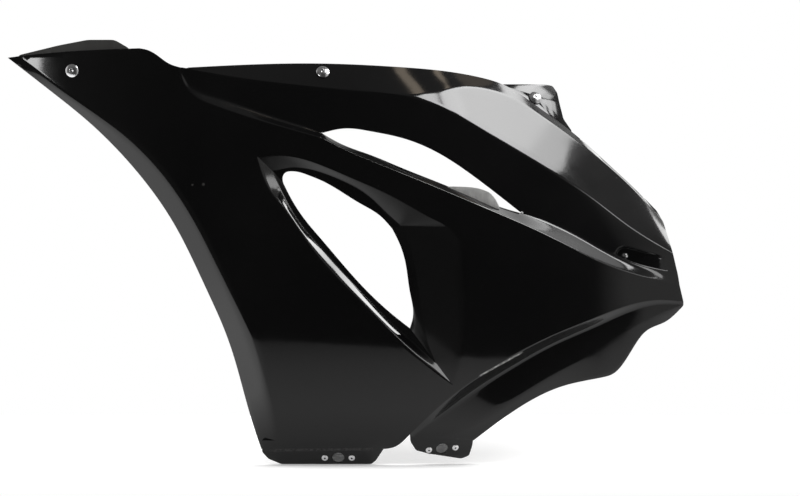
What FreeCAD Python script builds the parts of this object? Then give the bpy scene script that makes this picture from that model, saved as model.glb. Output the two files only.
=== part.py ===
"""Left side panel of a motorcycle fairing: one black moulding with its captive studs,
tab receptacles, rivets and pocket screw.

Millimetres. The origin is the centre of the front lower tab's hole, in the middle of the wall.
X runs to the rear of the motorcycle, Y inboard and Z up; the outside faces -Y.
The skin is one smooth form, and each feature line says how far it stands inboard of that form.
The wall has the same thickness everywhere along Y, the direction the moulding leaves its tool.
"""
import FreeCAD, Part
import math
import os
from FreeCAD import Vector

# Laminate: its wall, and how far a joggled tab is bonded into the wall it stands behind
WALL = 3.0
BOND = 0.6
JOGGLE = WALL - BOND

# The smooth form: cubic sweeps inboard at the nose, at the rear and down to the belly
NOSE_X = -429.0
NOSE_SWEEP = 34.0
NOSE_RUN = 330.0
REAR_X = 449.0
REAR_SWEEP = 90.0
REAR_RUN = 430.0
BELLY_TOP = 350.0
BELLY_TUCK = 80.0
BELLY_RUN = 360.0

# Joggled tabs and flanges, drawn in the side view: (along, up), with the depth they gain along and up
FRONT_TAB = [(-99, 22), (-99, 7), (-91, -2), (-74, -9), (43, -9), (49, -4), (61, 14), (61, 22)]
FRONT_TAB_TILT = 30.6
REAR_TAB = [(93, 33), (94, 20), (101, 9), (118, 4.5), (160, -2), (170, 2), (174, 14), (176, 28)]
REAR_TAB_SLOPE = (0.2, -0.6)
REAR_TAB_PLACE = (132, 25, 10 + JOGGLE)
REAR_TAB_HOLE = (135, 11)
REAR_EAR = [(209, 480), (214, 485), (269, 485), (279, 483), (285, 474), (288, 460), (293, 440), (304, 424),
            (298, 414), (262, 444)]
REAR_EAR_SLOPE = (0.5, 0.6)
REAR_EAR_PLACE = (262, 455, 82 + JOGGLE)
NOSE_FLANGE = [(-416, 508), (-416, 522), (-362, 535), (-325, 542), (-290, 542), (-271, 531), (-262, 516)]
WINDOW_EAR = [(131, 349), (145, 352), (171, 351), (184, 349), (197, 344), (205, 334), (211, 321), (190, 327),
              (150, 345)]
WINDOW_EAR_INSET = 7.5
TAB_CORNER = 4.0

# Rear pocket
POCKET_CENTRE = (372, 262)
POCKET_R = 12.0
POCKET_END = 424.0
POCKET_TOP = 262.0
POCKET_BOTTOM = 240.0
POCKET_INSET = 26.0
POCKET_SLOPE = (0.21, 0.0)

# Captive quarter-turn studs and the washers that keep them
STUD_HEAD_R = 8.5
STUD_HEAD_RIM = 1.2
STUD_HEAD_HEIGHT = 4.4
STUD_R = 4.0
STUD_TIP_R = 3.75
STUD_TIP_CHAMFER = 0.8
STUD_LENGTH = 20.0
STUD_PLAY = 0.25
STUD_SOCKET = 5.0
STUD_SOCKET_DEPTH = 2.8
STUD_SLOT = 1.8
STUD_SLOT_DEPTH = 4.5
KEEPER_R = 7.5
KEEPER_THICKNESS = 1.0
KEEPER_GRIP = 0.05
KEEPER_MARGIN = 0.3
FRONT_STUD = (-345, 502)
TOP_STUD = (-20, 500)
REAR_STUD = (256, 467)

# Spring receptacles on the tabs
TAB_HOLE_R = 7.75
PLATE_WIDTH = 17.0
PLATE_THICKNESS = 1.2
CUP_R = 8.2
CUP_WALL = 1.0
CUP_DEPTH = 8.0
SPRING_R = 0.8
SPRING_DEPTH = 5.0
SPRING_PLAY = 0.1
SPRING_TAIL = 1.5

# Blind rivets
RIVET_PITCH = 35.0
PLATE_LENGTH = RIVET_PITCH + 11
RIVET_R = 2.0
RIVET_PLAY = 0.05
RIVET_HEAD_R = 4.2
RIVET_HEAD_RIM = 0.4
RIVET_HEAD_HEIGHT = 1.6
RIVET_BORE_R = 1.2
RIVET_TAIL_R = 3.0
RIVET_TAIL = 2.2
RIVET_TAIL_CAP = 0.8

# Pocket screw and its washer
SCREW_R = 2.5
SCREW_PLAY = 0.15
SCREW_LENGTH = 18.0
SCREW_HEAD_R = 4.7
SCREW_HEAD_RIM = 0.6
SCREW_HEAD_HEIGHT = 2.7
SCREW_SOCKET = 3.0
SCREW_SOCKET_DEPTH = 1.6
WASHER_R = 6.0
WASHER_THICKNESS = 1.2

# Points where feature lines meet: (along, up)
NOSE_TIP = (-414, 521)
NOSE_HEEL = (-258, 531)
CREST_START = (-208, 507)
WINDOW_FRONT = -21.0
WINDOW_REAR = 238.0
CREST_FRONT_END = (WINDOW_FRONT, 415)
CREST_REAR_START = (WINDOW_REAR, 304)
REAR_CORNER = (444, 223)
REAR_HEEL = (449, 202)
FOOT_FRONT = (-71, 11)
FOOT_REAR = (93, 30)
VENT_TIP = (-106, 392)
VENT_SHOULDER = (161, 279)
VENT_TOE = (148, 95)

# The same off the form: (along, up, inboard of the form)
UPPER_WINDOW_TIP = (WINDOW_FRONT, 421, 14)
UPPER_WINDOW_TAIL = (WINDOW_REAR, 317, 22)
LOWER_WINDOW_TIP = (-71, 356, 13)
LOWER_WINDOW_SHOULDER = (70, 297, 15)
LOWER_WINDOW_TOE = (93, 168, 17)
FOLD_TIP = (-84, 371, 10)
FOLD_SHOULDER = (80, 301, 13.5)
FOLD_TOE = (126, 124, 8)

# Feature lines on the form
NOSE_TOP = [NOSE_TIP, (-362, 526), (-310, 529), NOSE_HEEL]
NOSE_STEP = [NOSE_HEEL, (-245, 528), (-232, 520), (-219, 511), CREST_START]
CREST_FRONT = [CREST_START, (-202, 490), (-190, 472), (-168, 460), (-115, 442), (-60, 426), CREST_FRONT_END]
CREST_MIDDLE = [CREST_FRONT_END, (15, 397), (80, 370), (160, 337), CREST_REAR_START]
CREST_REAR = [CREST_REAR_START, (274, 287), (326, 261), (380, 240), REAR_CORNER]
REAR_END = [REAR_CORNER, REAR_HEEL]
UNDER_CREST = [FOOT_REAR, (134, 69), (171, 97), (220, 128), (273, 156), (331, 180), (388, 200), (418, 204),
               REAR_HEEL]
FOOT_LINE = [FOOT_FRONT, (-40, 11), (10, 11), (50, 11), (66, 11.5), (78, 16), FOOT_REAR]
ARCH_CREST = [NOSE_TIP, (-357, 481), (-301, 440), (-260, 406), (-219, 359), (-179, 296), (-139, 210), (-105, 121),
              (-83, 46), FOOT_FRONT]
VENT_TOP = [VENT_TIP, (-82, 394), (-55, 390), (18, 362), (91, 329), (130, 307), (152, 292), VENT_SHOULDER]
VENT_REAR = [VENT_SHOULDER, (164, 224), (162, 165), VENT_TOE]
VENT_FRONT = [VENT_TIP, (-97, 364), (-73, 328), (-37, 278), (36, 198), (106, 129), VENT_TOE]

# Feature lines off the form
ARCH_EDGE = [(-429, 519, 2), (-362, 467, 8), (-323, 435, 12), (-284, 397, 16), (-245, 351, 19), (-206, 291, 20),
             (-167, 210, 20), (-134, 126, 19), (-115, 57, 14), (-100, 11, 7)]
ARM_LOW_FRONT = [(-204, 506, 0.5), (-200, 496, 2), (-189, 482, 4), (-149, 464, 8), (-80, 439, 12), UPPER_WINDOW_TIP]
ARM_LOW_MIDDLE = [UPPER_WINDOW_TIP, (9, 427, 15), (41, 423.5, 16), (85, 414, 17.5), (132, 394, 19), (184, 359, 21),
                  UPPER_WINDOW_TAIL]
ARM_LOW_REAR = [UPPER_WINDOW_TAIL, (286, 299, 22), (325, 279, 19), (362, 259, 13), (400, 245, 7), (442, 236, 3)]
LEDGE_MIDDLE = [UPPER_WINDOW_TIP, (2, 408, 10), (41, 393, 9), (80, 377, 9), (145, 351, 9), (205, 327, 13),
                UPPER_WINDOW_TAIL]
SHOULDER_LOW = [(-201, 506, 1), (-126, 492, 9), (-47, 483, 16), (30, 475, 20), (100, 466, 23), (140, 452, 25),
                (190, 424, 28), (240, 394, 30), (283, 368, 30), (330, 337, 28), (375, 303, 22), (435, 266, 8)]
SHOULDER_TOP = [(-197, 505, 2), (-126, 494, 10), (-47, 485, 17.5), (30, 478, 21.5), (100, 471, 25.5), (140, 478, 42),
                (180, 481, 64), (220, 469, 74), (286, 428, 71), (345, 384, 64), (392, 341, 54), (423, 306, 43)]
TOP_EDGE = [(-194, 506, 3), (-115, 510, 22), (-24, 511.5, 36), (80, 507, 49), (145, 501, 67), (184, 494, 81),
            (220, 482, 85.5), (262, 454, 82), (304, 423, 76), (345, 387, 69), (385, 350, 60), (414, 321, 49)]
STEP_LOW = [(97, 26, 6), (139, 58, 14), (176, 86, 16), (225, 117, 17), (277, 146, 16), (334, 171, 12),
            (388, 194, 4), (418, 200, 2), (449, 199, 0.5)]
STRIP_MIDDLE = [(132, 25, 10), (190, 49, 4.5), (236, 80, 5.5), (285, 115, 8), (340, 152, 8), (392, 180, 3.5),
                (425, 188, 2), (449, 198, 0.6)]
STRIP_LOW = [(176, 22, 9), (205, 44, 6), (245, 71, 6), (290, 92, 8), (344, 104, 6), (362, 112, 6),
             (379, 135, 6), (395, 159, 5), (411, 170, 4), (427, 177, 4), (448, 196, 1)]
FOLD_TOP = [FOLD_TIP, (-62, 376, 9), (-24, 371, 7), (11, 357, 6.5), (41, 338, 9), (60, 320, 12), FOLD_SHOULDER]
FOLD_REAR = [FOLD_SHOULDER, (91, 280, 12.5), (99, 254, 12), (105, 215, 12), (110, 180, 12.5), FOLD_TOE]
FOLD_FRONT = [FOLD_TIP, (-67, 332, 11), (-32, 283, 13), (41, 203, 14), (88, 157, 13), FOLD_TOE]
LOWER_WINDOW_TOP = [LOWER_WINDOW_TIP, (-69, 366, 11), (-61, 371, 9.5), (-24, 358, 8), (28, 330, 9.5),
                    (54, 314, 13.5), LOWER_WINDOW_SHOULDER]
LOWER_WINDOW_REAR = [LOWER_WINDOW_SHOULDER, (79, 279, 14), (87, 254, 13), (93, 215, 13), (97, 183, 15),
                     LOWER_WINDOW_TOE]
LOWER_WINDOW_FRONT = [LOWER_WINDOW_TIP, (-63, 340, 13.5), (-24, 286, 15), (28, 226, 16), (75, 182, 17),
                      LOWER_WINDOW_TOE]


def ramp(amount, run, distance):
    """Cubic sweep that reaches the amount after the run."""
    return amount * (max(0.0, distance) / run) ** 3


def form(x, z):
    """Depth of the smooth form, measured from its widest place."""
    nose = ramp(NOSE_SWEEP, NOSE_RUN, NOSE_X + NOSE_RUN - x)
    rear = ramp(REAR_SWEEP, REAR_RUN, x - REAR_X + REAR_RUN)
    belly = ramp(BELLY_TUCK, BELLY_RUN, BELLY_TOP - z)
    return nose + rear + belly


FRONT_TAB_SLOPE = (0.0, -math.tan(math.radians(FRONT_TAB_TILT)))
FRONT_TAB_PLACE = (0, FOOT_FRONT[1], JOGGLE)
HALF_TAB = WALL / 2 / math.cos(math.radians(FRONT_TAB_TILT))
DATUM = form(0, FOOT_FRONT[1]) + JOGGLE + HALF_TAB - FRONT_TAB_SLOPE[1] * FOOT_FRONT[1]


def at(x, z, inset=0.0):
    """Point on the form, or inboard of it."""
    return Vector(x, form(x, z) - DATUM + inset, z)


def spans(knots):
    """Knot triples that each pole of a cubic spline depends on."""
    flat = [knots[0]] * 4 + list(knots[1:-1]) + [knots[-1]] * 4
    return [flat[i + 1:i + 4] for i in range(len(flat) - 4)]


def swept(amount, run, distances):
    """Pole value of a cubic sweep over one knot triple."""
    value = amount
    for distance in distances:
        value *= max(0.0, distance) / run
    return value


def form_face():
    """The smooth form as one exact cubic spline face, a little larger than the panel."""
    nose_start = NOSE_X + NOSE_RUN
    rear_start = REAR_X - REAR_RUN
    along = [NOSE_X - 30] + sorted([nose_start, rear_start]) + [REAR_X + 30]
    up = [-0.2 * BELLY_TOP, BELLY_TOP, 1.7 * BELLY_TOP]
    poles = []
    for xs in spans(along):
        row = []
        for zs in spans(up):
            depth = swept(NOSE_SWEEP, NOSE_RUN, [nose_start - x for x in xs])
            depth += swept(REAR_SWEEP, REAR_RUN, [x - rear_start for x in xs])
            depth += swept(BELLY_TUCK, BELLY_RUN, [BELLY_TOP - z for z in zs])
            row.append(Vector(sum(xs) / 3, depth - DATUM, sum(zs) / 3))
        poles.append(row)
    surface = Part.BSplineSurface()
    surface.buildFromPolesMultsKnots(poles, [4, 1, 1, 4], [4, 1, 4], along, up, False, False, 3, 3)
    return surface.toShape()


def curve(points, chord=False):
    """Smooth line through points; its parameter is the place along X where X only grows, or the chord."""
    spline = Part.BSplineCurve()
    if not chord and all(a.x < b.x for a, b in zip(points, points[1:])):
        spline.interpolate(Points=points, Parameters=[p.x for p in points])
    else:
        spline.interpolate(Points=points)
    return spline


def line(points, chord=False):
    """Feature line off the form."""
    return curve([at(*p) for p in points], chord)


def flat(points):
    """Feature line on the form, drawn in the side view."""
    return curve([Vector(p[0], -400, p[1]) for p in points]).toShape()


def prism(edges):
    """Solid that runs across the panel along Y, from an outline drawn in the side view."""
    wire = Part.Wire(Part.sortEdges(edges)[0])
    return Part.Face(wire).extrude(Vector(0, 800, 0))


def on(face, drawn):
    """Edge of a trimmed face that lies on a line drawn in the side view."""
    middle = drawn.valueAt((drawn.FirstParameter + drawn.LastParameter) / 2)
    ray = Part.makeLine(middle, middle + Vector(0, 800, 0))
    return min(face.Edges, key=lambda edge: edge.distToShape(ray)[0])


def thirds(spline):
    """A long line cut at both ends of the upper window."""
    first, last = spline.FirstParameter, spline.LastParameter
    cuts = [first, WINDOW_FRONT, WINDOW_REAR, last]
    return [spline.toShape(a, b) for a, b in zip(cuts, cuts[1:])]


def web(a, b):
    """Ruled face between two edges, joined the way that does not twist."""
    return min((Part.makeRuledSurface(a, b, way) for way in (1, 2)), key=lambda face: face.Length)


def skin():
    """Outer faces of the moulding, by name."""
    border = {}
    for name, points in [("nose", NOSE_TOP), ("step", NOSE_STEP), ("crest0", CREST_FRONT), ("crest1", CREST_MIDDLE),
                         ("crest2", CREST_REAR), ("rear", REAR_END), ("under", UNDER_CREST), ("foot", FOOT_LINE),
                         ("arch", ARCH_CREST)]:
        border[name] = flat(points)
    vent = {"top": flat(VENT_TOP), "rear": flat(VENT_REAR), "front": flat(VENT_FRONT)}
    flank = form_face().common(prism(list(border.values()))).cut(prism(list(vent.values()))).Faces[0]
    faces = {"flank": flank}
    faces["arch"] = web(on(flank, border["arch"]), line(ARCH_EDGE).toShape())
    folds = {"top": (FOLD_TOP, LOWER_WINDOW_TOP), "rear": (FOLD_REAR, LOWER_WINDOW_REAR),
             "front": (FOLD_FRONT, LOWER_WINDOW_FRONT)}
    for name, (fold, inner) in folds.items():
        middle = line(fold, True).toShape()
        faces["vent_%s" % name] = web(on(flank, vent[name]), middle)
        faces["rim_%s" % name] = web(middle, line(inner, True).toShape())
    low = [line(ARM_LOW_FRONT).toShape(), line(ARM_LOW_MIDDLE).toShape(), line(ARM_LOW_REAR).toShape()]
    ledge = [low[0], line(LEDGE_MIDDLE).toShape(), low[2]]
    rows = [low, thirds(line(SHOULDER_LOW)), thirds(line(SHOULDER_TOP)), thirds(line(TOP_EDGE))]
    for i in range(3):
        faces["ledge%d" % i] = web(on(flank, border["crest%d" % i]), ledge[i])
        faces["arm%d" % i] = web(rows[0][i], rows[1][i])
        faces["shoulder%d" % i] = web(rows[1][i], rows[2][i])
        faces["top%d" % i] = web(rows[2][i], rows[3][i])
    step = line(STEP_LOW).toShape()
    middle = line(STRIP_MIDDLE).toShape()
    faces["step"] = web(on(flank, border["under"]), step)
    faces["strip_upper"] = web(step, middle)
    faces["strip_lower"] = web(middle, line(STRIP_LOW).toShape())
    return faces


def moulding(faces):
    """Solid wall behind the outer faces."""
    outer = Part.Compound(faces)
    outer.sewShape()
    count = {}
    for face in outer.Faces:
        for edge in face.Edges:
            count.setdefault(edge.hashCode(), []).append(edge)
    rims = [edges[0] for edges in count.values() if len(edges) == 1]
    inboard = Vector(0, WALL, 0)
    walls = [edge.extrude(inboard) for edge in rims]
    whole = Part.Compound(outer.Faces + outer.translated(inboard).Faces + walls)
    whole.sewShape()
    return Part.makeSolid(whole.Shells[0])


def normal(slope):
    """Outward direction of a plane given by its depth per step along and up."""
    return Vector(slope[0], -1, slope[1]).normalize()


def plane_point(x, z, slope, place):
    """Point of a sloping plane through a place off the form."""
    start = at(*place)
    return Vector(x, start.y + slope[0] * (x - place[0]) + slope[1] * (z - place[1]), z)


def plate(points, slope, place):
    """Flat tab of the laminate's thickness with rounded corners; the place lies on its outer face."""
    corners = [plane_point(x, z, slope, place) for x, z in points]
    out = normal(slope)
    solid = Part.Face(Part.makePolygon(corners + corners[:1])).extrude(out * -WALL)
    upright = [edge for edge in solid.Edges if edge.tangentAt(edge.FirstParameter).cross(out).Length < 1e-6]
    return solid.makeFillet(TAB_CORNER, upright)


def polygon(points):
    """Straight edges of a closed outline in the side view."""
    corners = [Vector(x, -400, z) for x, z in points]
    return [Part.makeLine(a, b) for a, b in zip(corners, corners[1:] + corners[:1])]


def layer(points, inset):
    """Wall that follows the form inside an outline, inboard of it."""
    face = form_face().common(prism(polygon(points))).Faces[0]
    return face.translated(Vector(0, inset, 0)).extrude(Vector(0, WALL, 0))


def pocket_outline():
    """Rear pocket in the side view: a round front end that opens to the rear."""
    x, z = POCKET_CENTRE
    top = Vector(x + POCKET_R * 0.2, -400, z + POCKET_R * 0.98)
    front = Vector(x - POCKET_R, -400, z)
    bottom = Vector(x - POCKET_R * 0.3, -400, z - POCKET_R * 0.95)
    end_top = Vector(POCKET_END, -400, POCKET_TOP)
    end_bottom = Vector(POCKET_END, -400, POCKET_BOTTOM)
    arc = Part.Arc(top, front, bottom).toShape()
    edges = [arc, Part.makeLine(bottom, end_bottom), Part.makeLine(end_bottom, end_top), Part.makeLine(end_top, top)]
    return Part.Face(Part.Wire(edges))


def pocket_slab(depth):
    """Everything outboard of the pocket's floor plane moved inboard by a depth."""
    place = (POCKET_CENTRE[0], POCKET_CENTRE[1], POCKET_INSET + depth)
    x, z = POCKET_CENTRE
    square = [(x - 150, z - 150), (x + 150, z - 150), (x + 150, z + 150), (x - 150, z + 150)]
    corners = [plane_point(a, b, POCKET_SLOPE, place) for a, b in square]
    return Part.Face(Part.makePolygon(corners + corners[:1])).extrude(Vector(0, -300, 0))


def with_pocket(solid, faces):
    """Moulding with the rear pocket pressed into it."""
    outline = pocket_outline()
    across = Vector(0, 800, 0)
    cup = outline.makeOffset2D(WALL).extrude(across).common(pocket_slab(WALL))
    for name in ("flank", "ledge2", "arm2", "shoulder2"):
        cup = cup.cut(faces[name].extrude(Vector(0, -150, 0)))
    cup = max(cup.Solids, key=lambda piece: piece.CenterOfMass.y)
    return solid.fuse(cup).cut(outline.extrude(across).common(pocket_slab(0.0)))


def seat(face, x, z):
    """Place and outward direction on a face, found in the side view."""
    ray = Part.makeLine(Vector(x, -400, z), Vector(x, 400, z))
    point = face.distToShape(ray)[1][0][0]
    out = face.normalAt(*face.Surface.parameter(point))
    if out.y > 0:
        out = out * -1
    return point, out


def stand(shape, point, out):
    """Move a shape drawn along Z to a seat, so that Z points out."""
    side = Vector(1, 0, 0)
    across = out.cross(side).normalize()
    side = across.cross(out)
    matrix = FreeCAD.Matrix(side.x, across.x, out.x, point.x, side.y, across.y, out.y, point.y,
                            side.z, across.z, out.z, point.z, 0, 0, 0, 1)
    return shape.transformed(matrix)


def rod(radius, low, high):
    """Cylinder along Z between two heights."""
    return Part.makeCylinder(radius, high - low, Vector(0, 0, low))


def dome(radius, rim, height, low):
    """Domed head: a short rim and two conical bands."""
    top = low + height
    shoulder = (0.7 * radius, low + rim + 0.7 * (height - rim))
    profile = [(0, low), (radius, low), (radius, low + rim), shoulder, (0.3 * radius, top), (0, top)]
    points = [Vector(x, 0, z) for x, z in profile]
    return Part.Face(Part.makePolygon(points + points[:1])).revolve(Vector(0, 0, 0), Vector(0, 0, 1), 360)


def socket(width, depth, top):
    """Hexagon socket that opens upwards."""
    corner = width / math.sqrt(3)
    points = [Vector(corner * math.cos(i * math.pi / 3), corner * math.sin(i * math.pi / 3), top - depth)
              for i in range(7)]
    return Part.Face(Part.makePolygon(points)).extrude(Vector(0, 0, depth + 2))


def stud(wall):
    """Quarter-turn stud: dome head, shank through the wall and its washer, and a slotted cam tip."""
    head = dome(STUD_HEAD_R, STUD_HEAD_RIM, STUD_HEAD_HEIGHT, STUD_PLAY)
    head = head.cut(socket(STUD_SOCKET, STUD_SOCKET_DEPTH, STUD_PLAY + STUD_HEAD_HEIGHT))
    neck = -wall - STUD_PLAY - KEEPER_THICKNESS - KEEPER_MARGIN
    shank = rod(STUD_R, neck, STUD_PLAY + 0.2)
    end = -STUD_LENGTH + STUD_TIP_CHAMFER
    tip = rod(STUD_TIP_R, end, neck)
    point = Part.makeCone(STUD_TIP_R - STUD_TIP_CHAMFER, STUD_TIP_R, STUD_TIP_CHAMFER, Vector(0, 0, -STUD_LENGTH))
    corner = Vector(-STUD_SLOT / 2, -2 * STUD_R, -STUD_LENGTH - 1)
    slot = Part.makeBox(STUD_SLOT, 4 * STUD_R, STUD_SLOT_DEPTH + 1, corner)
    return head.multiFuse([shank, tip, point]).cut(slot).removeSplitter()


def keeper(wall):
    """Push-on washer behind the wall."""
    high = -wall - STUD_PLAY
    return rod(KEEPER_R, high - KEEPER_THICKNESS, high).cut(rod(STUD_R + KEEPER_GRIP, -STUD_LENGTH, 0))


def receptacle():
    """Riveted plate with a cup for the spring; Z 0 is the middle of the tab."""
    high = -WALL / 2
    half = PLATE_LENGTH / 2 - PLATE_WIDTH / 2
    low = high - PLATE_THICKNESS
    body = Part.makeBox(2 * half, PLATE_WIDTH, PLATE_THICKNESS, Vector(-half, -PLATE_WIDTH / 2, low))
    for x in (-half, half):
        body = body.fuse(rod(PLATE_WIDTH / 2, low, high).translated(Vector(x, 0, 0)))
    body = body.fuse(rod(CUP_R + CUP_WALL, high - CUP_DEPTH - CUP_WALL, high))
    body = body.cut(rod(CUP_R, high - CUP_DEPTH, high + 1))
    for x in (-RIVET_PITCH / 2, RIVET_PITCH / 2):
        body = body.cut(rod(RIVET_R + RIVET_PLAY, low - 1, high + 1).translated(Vector(x, 0, 0)))
    reach = CUP_R + CUP_WALL + SPRING_TAIL
    end = Vector(-reach, 0, high - SPRING_DEPTH)
    bore = Part.makeCylinder(SPRING_R + SPRING_PLAY, 2 * reach, end, Vector(1, 0, 0))
    return body.cut(bore).removeSplitter()


def spring():
    """Cross wire of a receptacle."""
    reach = CUP_R + CUP_WALL + SPRING_TAIL
    return Part.makeCylinder(SPRING_R, 2 * reach, Vector(-reach, 0, -WALL / 2 - SPRING_DEPTH), Vector(1, 0, 0))


def rivet():
    """Set blind rivet with its hollow core."""
    low = -WALL / 2 - PLATE_THICKNESS
    high = WALL / 2
    body = dome(RIVET_HEAD_R, RIVET_HEAD_RIM, RIVET_HEAD_HEIGHT, high).fuse(rod(RIVET_R, low - 0.2, high + 0.2))
    body = body.fuse(rod(RIVET_TAIL_R, low - RIVET_TAIL, low))
    core = rod(RIVET_BORE_R, low - RIVET_TAIL + RIVET_TAIL_CAP, high + RIVET_HEAD_HEIGHT + 1)
    return body.cut(core).removeSplitter()


def screw():
    """Button-head screw; Z 0 is the pocket's floor."""
    head = dome(SCREW_HEAD_R, SCREW_HEAD_RIM, SCREW_HEAD_HEIGHT, 0.0)
    head = head.cut(socket(SCREW_SOCKET, SCREW_SOCKET_DEPTH, SCREW_HEAD_HEIGHT))
    return head.fuse(rod(SCREW_R, -SCREW_LENGTH, 0.2)).removeSplitter()


os.makedirs("parts", exist_ok=True)
faces = skin()
panel = moulding(list(faces.values()))
panel = with_pocket(panel, faces)
panel = panel.fuse(plate(FRONT_TAB, FRONT_TAB_SLOPE, FRONT_TAB_PLACE))
panel = panel.fuse(plate(REAR_TAB, REAR_TAB_SLOPE, REAR_TAB_PLACE))
panel = panel.fuse(plate(REAR_EAR, REAR_EAR_SLOPE, REAR_EAR_PLACE))
panel = panel.fuse(layer(NOSE_FLANGE, JOGGLE))
panel = panel.fuse(layer(WINDOW_EAR, WINDOW_EAR_INSET))

# Studs and keepers
studs = {"front": seat(faces["flank"], *FRONT_STUD), "top": seat(faces["top1"], *TOP_STUD)}
studs["rear"] = (plane_point(REAR_STUD[0], REAR_STUD[1], REAR_EAR_SLOPE, REAR_EAR_PLACE), normal(REAR_EAR_SLOPE))
for name, (point, out) in studs.items():
    wall = WALL if name == "rear" else -WALL * out.y
    panel = panel.cut(stand(rod(STUD_R + STUD_PLAY, -3 * WALL, 3 * WALL), point, out))
    stand(stud(wall), point, out).exportStep("parts/stud_%s.step" % name)
    stand(keeper(wall), point, out).exportStep("parts/keeper_%s.step" % name)

# Receptacles, springs and rivets
rear_out = normal(REAR_TAB_SLOPE)
rear_hole = plane_point(REAR_TAB_HOLE[0], REAR_TAB_HOLE[1], REAR_TAB_SLOPE, REAR_TAB_PLACE) - rear_out * (WALL / 2)
tabs = {"front": (Vector(0, 0, 0), normal(FRONT_TAB_SLOPE)), "rear": (rear_hole, rear_out)}
rivets = []
springs = []
for name, (point, out) in tabs.items():
    panel = panel.cut(stand(rod(TAB_HOLE_R, -2 * WALL, 2 * WALL), point, out))
    for x in (-RIVET_PITCH / 2, RIVET_PITCH / 2):
        across = Vector(x, 0, 0)
        panel = panel.cut(stand(rod(RIVET_R + RIVET_PLAY, -2 * WALL, 2 * WALL).translated(across), point, out))
        rivets.append(stand(rivet().translated(across), point, out))
    stand(receptacle(), point, out).exportStep("parts/receptacle_%s.step" % name)
    springs.append(stand(spring(), point, out))
Part.Compound(springs).exportStep("parts/receptacle_springs.step")
Part.Compound(rivets).exportStep("parts/tab_rivets.step")

# Pocket screw
floor = (POCKET_CENTRE[0], POCKET_CENTRE[1], POCKET_INSET)
point = plane_point(POCKET_CENTRE[0], POCKET_CENTRE[1], POCKET_SLOPE, floor)
out = normal(POCKET_SLOPE)
floor_wall = -WALL * out.y
panel = panel.cut(stand(rod(SCREW_R + SCREW_PLAY, -3 * WALL, WALL), point, out))
stand(screw(), point, out).exportStep("parts/pocket_screw.step")
washer = rod(WASHER_R, -floor_wall - WASHER_THICKNESS, -floor_wall).cut(rod(SCREW_R + SCREW_PLAY, -3 * WALL, 1))
stand(washer, point, out).exportStep("parts/pocket_washer.step")

panel.Solids[0].exportStep("parts/side_panel.step")
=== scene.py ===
"""Dresses the left side panel of a motorcycle fairing: a fine gloss moulding over the construction's
feature lines, with its studs, rivets, receptacles and pocket screw, on a plain white floor.

Lines are in millimetres and meshes in metres. X runs to the rear of the motorcycle, Y inboard and Z up.
"""
import math

import bpy
from mathutils import Matrix, Vector, geometry, kdtree


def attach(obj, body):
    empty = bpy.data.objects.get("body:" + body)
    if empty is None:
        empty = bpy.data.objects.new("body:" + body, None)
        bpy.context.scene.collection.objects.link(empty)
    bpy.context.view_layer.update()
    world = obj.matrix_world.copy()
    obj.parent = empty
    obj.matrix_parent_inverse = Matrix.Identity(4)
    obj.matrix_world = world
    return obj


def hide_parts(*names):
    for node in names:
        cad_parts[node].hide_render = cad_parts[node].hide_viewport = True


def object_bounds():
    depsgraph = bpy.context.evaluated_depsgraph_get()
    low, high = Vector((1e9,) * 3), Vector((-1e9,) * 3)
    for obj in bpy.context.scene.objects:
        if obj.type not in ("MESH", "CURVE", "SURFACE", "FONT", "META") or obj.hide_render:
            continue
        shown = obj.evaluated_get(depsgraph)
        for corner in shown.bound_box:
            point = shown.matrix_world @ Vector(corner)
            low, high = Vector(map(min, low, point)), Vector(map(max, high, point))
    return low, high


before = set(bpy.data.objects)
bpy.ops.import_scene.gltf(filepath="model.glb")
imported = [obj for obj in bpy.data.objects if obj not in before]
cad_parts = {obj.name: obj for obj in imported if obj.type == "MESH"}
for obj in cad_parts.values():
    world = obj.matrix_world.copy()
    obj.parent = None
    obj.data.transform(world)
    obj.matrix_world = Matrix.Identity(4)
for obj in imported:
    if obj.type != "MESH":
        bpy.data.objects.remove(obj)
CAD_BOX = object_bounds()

bl_info = {
    "name": "Fairing side panel",
    "version": (1, 0, 0),
    "blender": (4, 5, 0),
    "location": "3D View > Sidebar > Fairing",
    "description": "Models and finishes a gloss black fairing side panel with its fasteners",
    "category": "Add Mesh",
}

MM = 0.001

# The smooth form: cubic sweeps inboard at the nose, at the rear and down to the belly
NOSE_START, NOSE_SWEEP, NOSE_RUN = -99.0, 34.0, 330.0
REAR_START, REAR_SWEEP, REAR_RUN = 19.0, 90.0, 430.0
BELLY_TOP, BELLY_TUCK, BELLY_RUN = 350.0, 80.0, 360.0
WIDEST = -77.4489
WINDOW_FRONT, WINDOW_REAR = -21.0, 238.0

# Feature lines on the form: (along, up)
NOSE_TOP = [(-414, 521), (-362, 526), (-310, 529), (-258, 531)]
NOSE_STEP = [(-258, 531), (-245, 528), (-232, 520), (-219, 511), (-208, 507)]
CREST_FRONT = [(-208, 507), (-202, 490), (-190, 472), (-168, 460), (-115, 442), (-60, 426), (-21, 415)]
CREST_MIDDLE = [(-21, 415), (15, 397), (80, 370), (160, 337), (238, 304)]
CREST_REAR = [(238, 304), (274, 287), (326, 261), (380, 240), (444, 223)]
REAR_END = [(444, 223), (449, 202)]
UNDER_CREST = [(93, 30), (134, 69), (171, 97), (220, 128), (273, 156), (331, 180), (388, 200), (418, 204),
               (449, 202)]
FOOT_LINE = [(-71, 11), (-40, 11), (10, 11), (50, 11), (66, 11.5), (78, 16), (93, 30)]
ARCH_CREST = [(-414, 521), (-357, 481), (-301, 440), (-260, 406), (-219, 359), (-179, 296), (-139, 210),
              (-105, 121), (-83, 46), (-71, 11)]
VENT_TOP = [(-106, 392), (-82, 394), (-55, 390), (18, 362), (91, 329), (130, 307), (152, 292), (161, 279)]
VENT_REAR = [(161, 279), (164, 224), (162, 165), (148, 95)]
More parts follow.
